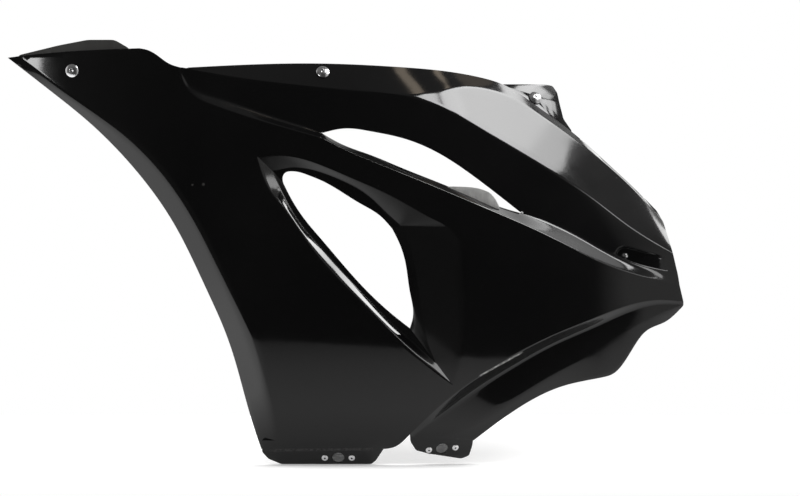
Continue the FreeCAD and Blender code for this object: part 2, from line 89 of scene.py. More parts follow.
VENT_FRONT = [(-106, 392), (-97, 364), (-73, 328), (-37, 278), (36, 198), (106, 129), (148, 95)]

# Feature lines off the form: (along, up, inboard of the form)
ARCH_EDGE = [(-429, 519, 2), (-362, 467, 8), (-323, 435, 12), (-284, 397, 16), (-245, 351, 19),
             (-206, 291, 20), (-167, 210, 20), (-134, 126, 19), (-115, 57, 14), (-100, 11, 7)]
ARM_LOW_FRONT = [(-204, 506, 0.5), (-200, 496, 2), (-189, 482, 4), (-149, 464, 8), (-80, 439, 12),
                 (-21, 421, 14)]
ARM_LOW_MIDDLE = [(-21, 421, 14), (9, 427, 15), (41, 423.5, 16), (85, 414, 17.5), (132, 394, 19),
                  (184, 359, 21), (238, 317, 22)]
ARM_LOW_REAR = [(238, 317, 22), (286, 299, 22), (325, 279, 19), (362, 259, 13), (400, 245, 7), (442, 236, 3)]
LEDGE_MIDDLE = [(-21, 421, 14), (2, 408, 10), (41, 393, 9), (80, 377, 9), (145, 351, 9), (205, 327, 13),
                (238, 317, 22)]
SHOULDER_LOW = [(-201, 506, 1), (-126, 492, 9), (-47, 483, 16), (30, 475, 20), (100, 466, 23), (140, 452, 25),
                (190, 424, 28), (240, 394, 30), (283, 368, 30), (330, 337, 28), (375, 303, 22), (435, 266, 8)]
SHOULDER_TOP = [(-197, 505, 2), (-126, 494, 10), (-47, 485, 17.5), (30, 478, 21.5), (100, 471, 25.5),
                (140, 478, 42), (180, 481, 64), (220, 469, 74), (286, 428, 71), (345, 384, 64),
                (392, 341, 54), (423, 306, 43)]
TOP_EDGE = [(-194, 506, 3), (-115, 510, 22), (-24, 511.5, 36), (80, 507, 49), (145, 501, 67), (184, 494, 81),
            (220, 482, 85.5), (262, 454, 82), (304, 423, 76), (345, 387, 69), (385, 350, 60), (414, 321, 49)]
STEP_LOW = [(97, 26, 6), (139, 58, 14), (176, 86, 16), (225, 117, 17), (277, 146, 16), (334, 171, 12),
            (388, 194, 4), (418, 200, 2), (449, 199, 0.5)]
STRIP_MIDDLE = [(132, 25, 10), (190, 49, 4.5), (236, 80, 5.5), (285, 115, 8), (340, 152, 8), (392, 180, 3.5),
                (425, 188, 2), (449, 198, 0.6)]
STRIP_LOW = [(176, 22, 9), (205, 44, 6), (245, 71, 6), (290, 92, 8), (344, 104, 6), (362, 112, 6),
             (379, 135, 6), (395, 159, 5), (411, 170, 4), (427, 177, 4), (448, 196, 1)]
FOLD_TOP = [(-84, 371, 10), (-62, 376, 9), (-24, 371, 7), (11, 357, 6.5), (41, 338, 9), (60, 320, 12),
            (80, 301, 13.5)]
FOLD_REAR = [(80, 301, 13.5), (91, 280, 12.5), (99, 254, 12), (105, 215, 12), (110, 180, 12.5), (126, 124, 8)]
FOLD_FRONT = [(-84, 371, 10), (-67, 332, 11), (-32, 283, 13), (41, 203, 14), (88, 157, 13), (126, 124, 8)]
WINDOW_TOP = [(-71, 356, 13), (-72, 363, 11.8), (-69, 369.3, 10.6), (-61.5, 371.4, 9.5), (-49.8, 370.1, 9),
              (-36.8, 365.6, 8.4), (-23.8, 360.4, 8), (28, 330, 9.5), (54, 314, 13.5), (70, 297, 15)]
WINDOW_BACK = [(70, 297, 15), (79, 279, 14), (87, 254, 13), (93, 215, 13), (97, 183, 15), (93, 168, 17)]
WINDOW_LIP = [(-71, 356, 13), (-63, 340, 13.5), (-24, 286, 15), (28, 226, 16), (75, 182, 17), (93, 168, 17)]

# Tabs, ears and flanges: outline (along, up)
FRONT_TAB = [(-99, 22), (-99, 7), (-91, -2), (-74, -9), (43, -9), (49, -4), (61, 14), (61, 22)]
REAR_TAB = [(93, 33), (94, 20), (101, 9), (118, 4.5), (160, -2), (170, 2), (174, 14), (176, 28)]
REAR_EAR = [(209, 480), (214, 485), (269, 485), (279, 483), (285, 474), (288, 460), (293, 440), (304, 424),
            (298, 414), (262, 444)]
NOSE_FLANGE = [(-416, 508), (-416, 522), (-362, 535), (-325, 542), (-290, 542), (-271, 531), (-262, 516)]
WINDOW_EAR = [(131, 349), (145, 352), (171, 351), (184, 349), (197, 344), (205, 334), (211, 321), (190, 327),
              (150, 345)]

# How the tabs and ears lie: set back behind the skin by the joggle, or with (depth gained along and up)
# and a place
JOGGLE = 2.4
WINDOW_EAR_INSET = 7.5
FRONT_TAB_TILT = math.radians(30.6)
FRONT_TAB_LIE = ((0.0, -math.tan(FRONT_TAB_TILT)), (0, 11, JOGGLE))
REAR_TAB_LIE = ((0.2, -0.6), (132, 25, 10 + JOGGLE))
REAR_EAR_LIE = ((0.5, 0.6), (262, 455, 82 + JOGGLE))

# Rear pocket: round at the front, with two small corners at the rear (along, up, first angle, last angle)
POCKET_CENTRE = (372.0, 262.0)
POCKET_R = 12.0
POCKET_ARC = (78, 253)
POCKET_CORNER_R = 3.0
POCKET_CORNERS = [(421, 244, -100, 0), (421, 259, 0, 88)]
POCKET_END = 424
POCKET_INSET, POCKET_SLOPE = 26.0, 0.21
POCKET_RUN_OUT, POCKET_RUN = 382, 40

# Marks on the gloss: chips (along, up, size in metres), and painted highlights along edges between two
# places, with their width in metres and strength
CHIPS = [(-188.9, 353.9, 0.0018), (-174.6, 354.5, 0.0026)]
PAINTED_EDGE_HIGHLIGHTS = [((181.6, 104.9), (240.1, 137.4), 0.0014, 1.0), ((-97.0, 9.0), (48.0, 10.6), 0.0024, 0.09)]

# Holes in the panel: radii in metres
STUD_HOLE, TAB_HOLE, RIVET_HOLE, SCREW_HOLE = 0.00425, 0.00775, 0.00205, 0.00265
HOLE_REACH, TAB_HOLE_REACH = 0.009, 0.006

# Fastener seats: place in metres and outward direction
STUD_SEATS = {
    "front": (Vector((-0.345, -0.063364, 0.502)), Vector((-0.16928, -0.98557, 0.0))),
    "top": (Vector((-0.02, -0.047762, 0.5)), Vector((0.09985, -0.8567, 0.50607))),
    "rear": (Vector((0.256, 0.027394, 0.467)), Vector((0.39406, -0.78811, 0.47287))),
}
TAB_SEATS = {
    "front": (Vector((0.0, 0.0, 0.0)), Vector((0.0, -0.86074, -0.50904))),
    "rear": (Vector((0.134746, 0.005714, 0.011761)), Vector((0.16903, -0.84515, -0.50709))),
}
SCREW_SEAT = (Vector((0.372, -0.000488, 0.262)), Vector((0.20552, -0.97865, 0.0)))

# Floor in metres: its front edge (along, across), and its rise behind the panel (across, share of the rise)
FLOOR_FRONT = [(-1.6, -0.55), (-0.2, -0.51), (-0.05, -0.5), (0.1, -0.44), (0.25, -0.36), (1.8, -0.34)]
FLOOR_SWEEP = [(-0.15, -0.1), (0.0, 0.0), (0.05, 0.06), (0.1, 0.3), (0.15, 0.62), (0.2, 0.86), (0.26, 1.0),
               (1.6, 1.0)]

# Lamps in metres. Softboxes: along, width, length, share of the softbox's power. Aimed and overhead lamps:
# name, power's property, share of it, size and place, and for an aimed one its target, or None for the
# picture's middle
LAMP_HEIGHT = 1.9
SOFTBOX_BACK = 0.2
SOFTBOXES = [(1.16, 0.28, 0.82, 0.395), (1.425, 0.25, 1.05, 0.405), (1.66, 0.22, 0.74, 0.2)]
AIMED_LAMPS = [
    ("lip_card", "side_light", 0.05, (0.5, 0.3), (1.97, -0.86, 1.32), None),
    ("front_card", "side_light", 0.06, (0.6, 0.25), (2.3, -0.3, 1.42), (0, -0.3, 0.3)),
    ("nose_light", "nose_light", 1.0, (0.28, 0.25), (-1.43, -1.765, 0.52), (-0.41, -0.05, 0.52)),
    ("rear_card", "side_light", 0.12, (0.9, 0.3), (2.3, 0.45, 1.52), (0, 0.45, 0.4)),
]
OVERHEAD_LAMPS = [
    ("lip_light", "side_light", 0.5, (0.8, 1.12), (2.0, 1.34)),
    ("crest_light", "crest_light", 1.0, (0.5, 0.4), (0.95, -0.75)),
    ("ledge_card", "ledge_light", 1.0, (0.65, 0.65), (1.42, 0.62)),
]
ROOM_LAMPS = [
    (0.14, (0.08, 0.2), (0.53, -0.34)),
    (0.09, (0.06, 0.15), (0.8, 0.04)),
    (0.06, (0.12, 0.25), (0.97, 0.42)),
]
WHITE_LIGHT, WARM_LIGHT = (1.0, 1.0, 1.0), (1.0, 0.84, 0.66)
SENSOR = 36.0

# Meshing: points along a line that is measured finely, how far other points gather towards its ends, the
# gap of a sheet's inner points to its border and the rise of its rows in steps, and the points across the
# upper sections
FINE = 600
GATHER = 0.04
BORDER_GAP, ROW_RISE = 0.62, 0.866
ROUND_STEPS = 5
UPPER_PARTS = [1, 4, 14, 7, 5]
UPPER_COUNTS = [56, 66, 58]
SMOOTH_ANGLE = math.radians(35)

# Rounds: the largest share of a straight that one takes, and the share of a tab's corner radius for its bevel
MOST_ROUND = 0.45
CORNER_BEVEL = 0.55

# Roll of the wheel arch: the share by which its crest moves to the edge near the nose, the points over which
# that starts and the share of the arch where it ends; the soft side's reach, what it gains near the nose, and
# until where
NARROWED, NARROW_START, NARROW_END = 0.45, 20, 0.42
ARCH_SOFT, ARCH_SOFTER, SOFTER_END = 0.008, 0.014, 0.45

# Meshes of the moulding: distances at which points are merged and slivers dissolved
MERGED, SLIVER = 0.00004, 0.00002


class FairingPanelSizes(bpy.types.PropertyGroup):
    """Sizes of the moulding."""

    wall: bpy.props.FloatProperty(
        name="Wall", description="Laminate thickness across the panel",
        default=0.003, unit="LENGTH")
    mesh_step: bpy.props.FloatProperty(
        name="Mesh step", description="Spacing of the flank's points",
        default=0.006, unit="LENGTH")
    crest_round: bpy.props.FloatProperty(
        name="Crest round", description="Reach of the round on the long crests",
        default=0.0022, unit="LENGTH")
    valley_round: bpy.props.FloatProperty(
        name="Valley round", description="Reach of the round in the valleys",
        default=0.004, unit="LENGTH")
    shoulder_round: bpy.props.FloatProperty(
        name="Shoulder round", description="Reach of the round along the shoulder facet",
        default=0.003, unit="LENGTH")
    strip_round: bpy.props.FloatProperty(
        name="Strip round", description="Reach of the soft crest along the lower strip",
        default=0.009, unit="LENGTH")
    arch_round: bpy.props.FloatProperty(
        name="Arch roll", description="Reach of the roll along the wheel arch",
        default=0.012, unit="LENGTH")
    lip_round: bpy.props.FloatProperty(
        name="Lip round", description="Reach of the round on the lip of the lower window",
        default=0.0045, unit="LENGTH")
    vent_round: bpy.props.FloatProperty(
        name="Vent round", description="Reach of the round over the lower window",
        default=0.003, unit="LENGTH")
    vent_back_round: bpy.props.FloatProperty(
        name="Vent back round", description="Reach of the soft roll behind the lower window",
        default=0.016, unit="LENGTH")
    edge_bevel: bpy.props.FloatProperty(
        name="Edge bevel", description="Broken edge along the cut rims",
        default=0.0006, unit="LENGTH")
    tab_corner: bpy.props.FloatProperty(
        name="Tab corner", description="Corner radius of the tabs",
        default=0.004, unit="LENGTH")


class FairingFastenerSizes(bpy.types.PropertyGroup):
    """Sizes of the studs, rivets and screw."""

    stud_head: bpy.props.FloatProperty(
        name="Stud head", description="Radius of the stud head",
        default=0.0085, unit="LENGTH")
    stud_rise: bpy.props.FloatProperty(
        name="Stud rise", description="Height of the stud head",
        default=0.0044, unit="LENGTH")
    stud_shank: bpy.props.FloatProperty(
        name="Stud shank", description="Radius of the stud shank",
        default=0.00375, unit="LENGTH")
    stud_length: bpy.props.FloatProperty(
        name="Stud length", description="Reach of the stud behind the panel",
        default=0.02, unit="LENGTH")
    rivet_head: bpy.props.FloatProperty(
        name="Rivet head", description="Radius of the rivet head",
        default=0.0042, unit="LENGTH")
    rivet_rise: bpy.props.FloatProperty(
        name="Rivet rise", description="Height of the rivet head",
        default=0.0016, unit="LENGTH")
    rivet_bore: bpy.props.FloatProperty(
        name="Rivet bore", description="Radius of the hollow in the rivet",
        default=0.0012, unit="LENGTH")
    rivet_pitch: bpy.props.FloatProperty(
        name="Rivet pitch", description="Distance between the two rivets of a tab",
        default=0.035, unit="LENGTH")
    screw_head: bpy.props.FloatProperty(
        name="Screw head", description="Radius of the pocket screw's head",
        default=0.0047, unit="LENGTH")
    screw_rise: bpy.props.FloatProperty(
        name="Screw rise", description="Height of the pocket screw's head",
        default=0.0027, unit="LENGTH")


class FairingFinish(bpy.types.PropertyGroup):
    """Colours and gloss."""

    gelcoat: bpy.props.FloatVectorProperty(
        name="Gelcoat", description="Colour of the gloss outside",
        subtype="COLOR", size=4, default=(0.0035, 0.0035, 0.0038, 1), min=0, max=1)
    gelcoat_rough: bpy.props.FloatProperty(
        name="Gelcoat roughness", description="Lowest roughness of the gloss outside",
        default=0.07, subtype="FACTOR", min=0, max=1)
    dust: bpy.props.FloatVectorProperty(
        name="Dust", description="Colour of dust and scuffs",
        subtype="COLOR", size=4, default=(0.16, 0.155, 0.15, 1), min=0, max=1)
    # painted highlights: colour of the light lines painted along two edges
    edge_highlight: bpy.props.FloatVectorProperty(
        name="Worn edges", description="Colour of edges rubbed through the gloss",
        subtype="COLOR", size=4, default=(0.8, 0.79, 0.77, 1), min=0, max=1)
    laminate: bpy.props.FloatVectorProperty(
        name="Laminate", description="Colour of the bare inside",
        subtype="COLOR", size=4, default=(0.022, 0.021, 0.02, 1), min=0, max=1)
    flange: bpy.props.FloatVectorProperty(
        name="Nose flange", description="Colour of the satin nose flange",
        subtype="COLOR", size=4, default=(0.085, 0.084, 0.08, 1), min=0, max=1)
    keyed: bpy.props.FloatVectorProperty(
        name="Window ear", description="Colour of the sanded ear in the window",
        subtype="COLOR", size=4, default=(0.55, 0.55, 0.54, 1), min=0, max=1)
    steel: bpy.props.FloatVectorProperty(
        name="Stud steel", description="Colour of the studs and the screw",
        subtype="COLOR", size=4, default=(0.72, 0.72, 0.73, 1), min=0, max=1)
    aluminium: bpy.props.FloatVectorProperty(
        name="Rivet aluminium", description="Colour of the rivets",
        subtype="COLOR", size=4, default=(0.96, 0.96, 0.965, 1), min=0, max=1)
    zinc: bpy.props.FloatVectorProperty(
        name="Receptacle zinc", description="Colour of the receptacles and keepers",
        subtype="COLOR", size=4, default=(0.5, 0.5, 0.5, 1), min=0, max=1)
    floor: bpy.props.FloatVectorProperty(
        name="Floor", description="Colour of the floor",
        subtype="COLOR", size=4, default=(0.6, 0.6, 0.6, 1), min=0, max=1)


class FairingStage(bpy.types.PropertyGroup):
    """Camera, floor and light."""

    aim: bpy.props.FloatVectorProperty(
        name="Aim", description="Point in the middle of the picture",
        subtype="XYZ", size=3, default=(0.0802, 0.0, 0.2720), unit="LENGTH")
    width: bpy.props.FloatProperty(
        name="Picture width", description="Width of the picture at the aim",
        default=1.04, unit="LENGTH")
    lens: bpy.props.FloatProperty(name="Lens", description="Focal length in millimetres", default=900.0)
    floor_rise: bpy.props.FloatProperty(
        name="Floor rise", description="Rise of the floor's sweep behind the panel",
        default=0.05, unit="LENGTH")
    floor_fall: bpy.props.FloatProperty(
        name="Floor fall", description="Fall of the floor to its front edge",
        default=0.03, unit="LENGTH")
    softbox: bpy.props.FloatProperty(
        name="Softbox", description="Power of the overhead softbox",
        default=23.0, unit="POWER")
    side_light: bpy.props.FloatProperty(
        name="Side light", description="Power of the cards at the right",
        default=47.0, unit="POWER")
    nose_light: bpy.props.FloatProperty(
        name="Nose light", description="Power of the lamp on the nose", default=3.0, unit="POWER")
    crest_light: bpy.props.FloatProperty(
        name="Crest light", description="Power of the lamp over the crest", default=7.5, unit="POWER")
    ledge_light: bpy.props.FloatProperty(
        name="Ledge light", description="Power of the lamp over the ledge", default=2.0, unit="POWER")


def form(x, z):
    """Depth of the smooth form in millimetres."""
    nose = NOSE_SWEEP * (max(0.0, NOSE_START - x) / NOSE_RUN) ** 3
    rear = REAR_SWEEP * (max(0.0, x - REAR_START) / REAR_RUN) ** 3
    belly = BELLY_TUCK * (max(0.0, BELLY_TOP - z) / BELLY_RUN) ** 3
    return nose + rear + belly + WIDEST


def place(point):
    """Point on the form, or inboard of it, in metres."""
    inset = point[2] if len(point) > 2 else 0.0
    return Vector((point[0], form(point[0], point[1]) + inset, point[1])) * MM


def smooth(ts, values):
    """Cubic spline through values, straight at its ends."""
    n = len(ts) - 1
    h = [ts[i + 1] - ts[i] for i in range(n)]
    low, mid, top, rhs = [0.0], [1.0], [0.0], [0.0]
    for i in range(1, n):
        low.append(h[i - 1])
        mid.append(2 * (h[i - 1] + h[i]))
        top.append(h[i])
        rhs.append(6 * ((values[i + 1] - values[i]) / h[i] - (values[i] - values[i - 1]) / h[i - 1]))
    low.append(0.0)
    mid.append(1.0)
    top.append(0.0)
    rhs.append(0.0)
    for i in range(1, n + 1):
        w = low[i] / mid[i - 1]
        mid[i] -= w * top[i - 1]
        rhs[i] -= w * rhs[i - 1]
    m = [0.0] * (n + 1)
    m[n] = rhs[n] / mid[n]
    for i in range(n - 1, -1, -1):
        m[i] = (rhs[i] - top[i] * m[i + 1]) / mid[i]

    def value(t):
        i = 0
        while i < n - 1 and t > ts[i + 1]:
            i += 1
        a, b = ts[i + 1] - t, t - ts[i]
        bend = m[i] * a ** 3 / (6 * h[i]) + m[i + 1] * b ** 3 / (6 * h[i])
        return (bend + (values[i] / h[i] - m[i] * h[i] / 6) * a
                + (values[i + 1] / h[i] - m[i + 1] * h[i] / 6) * b)

    return value


class Line:
    """A smooth feature line, measured along X where X only grows, and along the chord otherwise."""

    def __init__(self, points):
        grows = all(a[0] < b[0] for a, b in zip(points, points[1:]))
        ts = [p[0] for p in points]
        if not grows:
            ts = [0.0]
            for a, b in zip(points, points[1:]):
                ts.append(ts[-1] + math.dist(a, b))
        self.start, self.end = ts[0], ts[-1]
        self.parts = [smooth(ts, [p[k] for p in points]) for k in range(len(points[0]))]

    def at(self, t):
        return tuple(part(t) for part in self.parts)

    def cut(self, start, end, fractions):
        """Points at fractions of a stretch."""
        return [self.at(start + f * (end - start)) for f in fractions]

    def even(self, count):
        """Points an equal distance apart."""
        fine = [self.at(self.start + i / (count * 12) * (self.end - self.start))
                for i in range(count * 12 + 1)]
        run = [0.0]
        for a, b in zip(fine, fine[1:]):
            run.append(run[-1] + math.dist(a, b))
        made, i = [], 0
        for k in range(count + 1):
            want = run[-1] * k / count
            while i < len(run) - 2 and run[i + 1] < want:
                i += 1
            f = (want - run[i]) / max(run[i + 1] - run[i], 1e-9)
            made.append(tuple(a + (b - a) * f for a, b in zip(fine[i], fine[i + 1])))
        return made


def ease(t):
    """Smooth step from 0 to 1."""
    t = min(1.0, max(0.0, t))
    return t * t * (3 - 2 * t)


def run_lengths(points):
    """Distance of each point from the first one along a line of the side view."""
    run = [0.0]
    for a, b in zip(points, points[1:]):
        run.append(run[-1] + math.dist(a[:2], b[:2]))
    return run


def beside(points, reach, side, start=None, end=None, blend=22.0):
    """Points of the form beside a line, on its left (1) or right (-1) seen from outside.

    The reach is a function of the distances from both ends. Start and end are directions that the first and
    last points take, so that two lines can share a corner.
    """
    run = run_lengths(points)
    made = []
    for i, p in enumerate(points):
        a, b = points[max(i - 1, 0)], points[min(i + 1, len(points) - 1)]
        d = Vector((b[0] - a[0], b[1] - a[1])).normalized()
        across = Vector((-d.y, d.x)) * side
        if start:
            across = Vector(start).normalized().lerp(across, ease(run[i] / blend)).normalized()
        if end:
            across = Vector(end).normalized().lerp(across, ease((run[-1] - run[i]) / blend)).normalized()
        r = reach(run[i], run[-1] - run[i])
        made.append((p[0] + across.x * r, p[1] + across.y * r))
    return made


def facing(points, across):
    """Shares of a line's length that lie straight across from other points, gathered towards its ends."""
    fine = Line(points).even(FINE)
    start, end = Vector(across[0][:2]), Vector(across[-1][:2])
    along = (end - start).normalized()
    marks = [(Vector(q[:2]) - start).dot(along) for q in fine]
    span = marks[-1] - marks[0]

    def share(q):
        u = ((Vector(q[:2]) - start).dot(along) - marks[0]) / span
        return math.hypot(u, GATHER) - math.hypot(u - 1, GATHER)

    shares = [share(q) for q in across]
    return [(value - shares[0]) / (shares[-1] - shares[0]) for value in shares]


def along_line(points, shares):
    """Points of a feature line at shares of its length."""
    fine = Line(points).even(FINE)
    made = []
    for share in shares:
        i = min(int(share * FINE), FINE - 1)
        made.append(tuple(a + (b - a) * (share * FINE - i) for a, b in zip(fine[i], fine[i + 1])))
    return made


def rounded(corners, reaches, parts, steps=ROUND_STEPS):
    """Section through corners: inner corners are rounded, and each straight has a fixed number of parts."""
    made = [corners[0]]
    last = corners[0]
    for i in range(1, len(corners)):
        a, b = corners[i - 1], corners[i]
        goal = b
        if i < len(corners) - 1:
            c = corners[i + 1]
            reach = min(reaches[i - 1][0], MOST_ROUND * (b - a).length)
            after = min(reaches[i - 1][1], MOST_ROUND * (c - b).length)
            goal = b + (a - b).normalized() * reach if (a - b).length > 1e-9 else b
        for k in range(1, parts[i - 1] + 1):
            made.append(last.lerp(goal, k / parts[i - 1]))
        last = goal
        if i < len(corners) - 1:
            leave = b + (c - b).normalized() * after if (c - b).length > 1e-9 else b
            for k in range(1, steps + 1):
                t = k / steps
                made.append(last * (1 - t) ** 2 + b * 2 * t * (1 - t) + leave * t * t)
            last = leave
    return made


def select_only(obj):
    """Make one object the active and only selected one."""
    bpy.ops.object.select_all(action="DESELECT")
    obj.select_set(True)
    bpy.context.view_layer.objects.active = obj


def grid_of(rows, name):
    """A grid primitive whose points are moved onto rows of a section."""
    across, along = len(rows[0]) - 1, len(rows) - 1
    bpy.ops.object.select_all(action="DESELECT")
    bpy.ops.mesh.primitive_grid_add(x_subdivisions=across, y_subdivisions=along, size=1.0, location=(0, 0, 0))
    obj = bpy.context.object
    obj.name = name
    obj.data.vertices.foreach_set("co", [c for row in rows for p in row for c in p])
    obj.data.update()
    return obj


def inside(point, loop):
    """Whether a point of the side view lies in a closed loop."""
    x, z = point
    hit = False
    for (ax, az), (bx, bz) in zip(loop, loop[1:] + loop[:1]):
        if (az > z) != (bz > z) and x < ax + (z - az) / (bz - az) * (bx - ax):
            hit = not hit
    return hit


def sheet_of(outer, holes, step, depth, name):
    """A sheet filled in between loops of the side view, in millimetres, with its depth from a function."""
    loops = [outer] + holes
    tree = kdtree.KDTree(sum(len(loop) for loop in loops))
    points, edges = [], []
    for loop in loops:
        first = len(points)
        for i, p in enumerate(loop):
            tree.insert((p[0], p[1], 0), len(points))
            points.append(Vector(p[:2]))
            edges.append((first + i, first + (i + 1) % len(loop)))
    tree.balance()
    low_x, high_x = min(p[0] for p in outer), max(p[0] for p in outer)
    low_z, high_z = min(p[1] for p in outer), max(p[1] for p in outer)
    row = 0
    z = low_z + step / 2
    while z < high_z:
        x = low_x + step * (0.5 if row % 2 else 1.0)
        while x < high_x:
            if tree.find((x, z, 0))[2] > BORDER_GAP * step and inside((x, z), outer):
                if not any(inside((x, z), hole) for hole in holes):
                    points.append(Vector((x, z)))
            x += step
        z += step * ROW_RISE
        row += 1
    made = geometry.delaunay_2d_cdt(points, edges, [], 1, 1e-6)
    faces = []
    for face in made[2]:
        middle = sum((made[0][i] for i in face), Vector((0, 0))) / len(face)
        if inside(middle, outer) and not any(inside(middle, hole) for hole in holes):
            faces.append(face)
    mesh = bpy.data.meshes.new(name)
    mesh.from_pydata([Vector((p.x, depth(p.x, p.y), p.y)) * MM for p in made[0]], [], faces)
    obj = bpy.data.objects.new(name, mesh)
    bpy.context.scene.collection.objects.link(obj)
    return obj


def joined(objects, name):
    """Several meshes as one."""
    bpy.ops.object.select_all(action="DESELECT")
    for obj in objects:
        obj.select_set(True)
    bpy.context.view_layer.objects.active = objects[0]
    bpy.ops.object.join()
    obj = bpy.context.object
    obj.name = name
    obj.data.name = name
    return obj


def apply_modifier(obj, kind, **settings):
    """Add a modifier, set it and apply it."""
    select_only(obj)
    modifier = obj.modifiers.new(kind.title(), kind)
    for key, value in settings.items():
        setattr(modifier, key, value)
    bpy.ops.object.modifier_apply(modifier=modifier.name)


def remove_object(obj):
    """Delete an object and its mesh."""
    mesh = obj.data
    bpy.data.objects.remove(obj)
    bpy.data.meshes.remove(mesh)


def walled(obj, offset):
    """Turn an outer sheet into a wall: the copy that is moved inboard takes the second material."""
    select_only(obj)
    bpy.ops.object.mode_set(mode="EDIT")
    bpy.ops.mesh.select_all(action="SELECT")
    bpy.ops.mesh.remove_doubles(threshold=MERGED)
    bpy.ops.mesh.dissolve_degenerate(threshold=SLIVER)
    bpy.ops.mesh.select_all(action="SELECT")
    bpy.ops.mesh.extrude_region_move(TRANSFORM_OT_translate={"value": offset})
    obj.active_material_index = 1
    bpy.ops.object.material_slot_assign()
    bpy.ops.mesh.select_all(action="SELECT")
    bpy.ops.mesh.normals_make_consistent(inside=False)
    bpy.ops.object.mode_set(mode="OBJECT")


def upper_sections():
    """Sections from the flank over ledge, arm and shoulder to the top edge, in three stretches."""
    p = bpy.context.scene.fairing_panel
    crest = [CREST_FRONT, CREST_MIDDLE, CREST_REAR]
    low = [ARM_LOW_FRONT, ARM_LOW_MIDDLE, ARM_LOW_REAR]
    cuts = [None, WINDOW_FRONT, WINDOW_REAR, None]
    stretches = []
    for k in range(3):
        count = UPPER_COUNTS[k]
        fractions = [(i / count) ** (1.5 if k == 0 else 1.0) for i in range(count + 1)]
        flat = Line(crest[k])
        edge = flat.cut(flat.start, flat.end, fractions)

        def size(from_start, from_end):
            """Reach of the crest's round, which runs out at the panel's two ends."""
            return p.crest_round / MM * ease({0: from_start / 12, 2: from_end / 14}.get(k, 1.0))

        first = beside(edge, size, -1)
        lines = []
        for points in (low[k], SHOULDER_LOW, SHOULDER_TOP, TOP_EDGE):
            line = Line(points)
            start = line.start if k == 0 or points is low[k] else cuts[k]
            end = line.end if k == 2 or points is low[k] else cuts[k + 1]
            lines.append([place(q) for q in line.cut(start, end, fractions)])
        ledge = [place(q) for q in Line(LEDGE_MIDDLE).cut(WINDOW_FRONT, WINDOW_REAR, fractions)]
        sections = []
        run = run_lengths(edge)
        for i in range(len(edge)):
            away = {0: run[-1] - run[i], 2: run[i]}.get(k, math.inf)
            valley = p.valley_round * ease(away / 26)
            corners = [place(first[i]), place(edge[i])] + [line[i] for line in lines]
            bend = [(reach, reach) for reach in (p.crest_round, valley, p.shoulder_round, p.shoulder_round)]
            if k == 1:
                lower = rounded([corners[0], corners[1], ledge[i]], bend[:1], UPPER_PARTS[:2])
                upper = rounded(corners[2:], bend[2:], UPPER_PARTS[2:])
                sections.append((lower, upper))
            else:
                sections.append(rounded(corners, bend, UPPER_PARTS))
        stretches.append((first, sections))
    return stretches


def arc(centre, radius, first, last, steps):
    """Points of an arc in the side view, between two angles in degrees."""
    angles = [math.radians(first + i * (last - first) / steps) for i in range(steps + 1)]
    return [(centre[0] + radius * math.cos(a), centre[1] + radius * math.sin(a)) for a in angles]


def straight(start, end, parts):
    """Points between two places of the side view, without the two."""
    return [tuple(a + (b - a) * i / parts for a, b in zip(start, end)) for i in range(1, parts)]


def pocket_loop():
    """Outline of the rear pocket in the side view, with its rear corners rounded."""
    loop = arc(POCKET_CENTRE, POCKET_R, *POCKET_ARC, 24)
    first, last = loop[0], loop[-1]
    (low_x, low_z, *low_turn), (high_x, high_z, *high_turn) = POCKET_CORNERS
    loop += straight(last, (low_x, low_z - POCKET_CORNER_R - 0.1), 12)
    loop += arc((low_x, low_z), POCKET_CORNER_R, *low_turn, 6)
    loop += straight((POCKET_END, low_z), (POCKET_END, high_z - 0.5), 4)
    loop += arc((high_x, high_z), POCKET_CORNER_R, *high_turn, 6)
    loop += straight((high_x, high_z + POCKET_CORNER_R), first, 11)
    return loop


def grown(loop, distance):
    """A closed loop moved outwards."""
    made = []
    n = len(loop)
    middle = (sum(p[0] for p in loop) / n, sum(p[1] for p in loop) / n)
    for i, p in enumerate(loop):
        a, b = loop[i - 1], loop[(i + 1) % n]
        d = Vector((b[0] - a[0], b[1] - a[1])).normalized()
        out = Vector((d.y, -d.x))
        if out.dot(Vector((p[0] - middle[0], p[1] - middle[1]))) < 0:
            out = -out
        made.append((p[0] + out.x * distance, p[1] + out.y * distance))
    return made


def between_rows(low, high):
    """Depth in millimetres between two rows of points, found by the place along and up."""

    def on_row(row, x):
        i = 0
        while i < len(row) - 2 and row[i + 1].x < x:
            i += 1
        f = (x - row[i].x) / max(row[i + 1].x - row[i].x, 1e-9)
        return row[i].lerp(row[i + 1], f)

    def depth(x, z):
        a, b = on_row(low, x * MM), on_row(high, x * MM)
        f = (z * MM - a.z) / max(b.z - a.z, 1e-9)
        return (a.y + (b.y - a.y) * f) / MM

    return depth


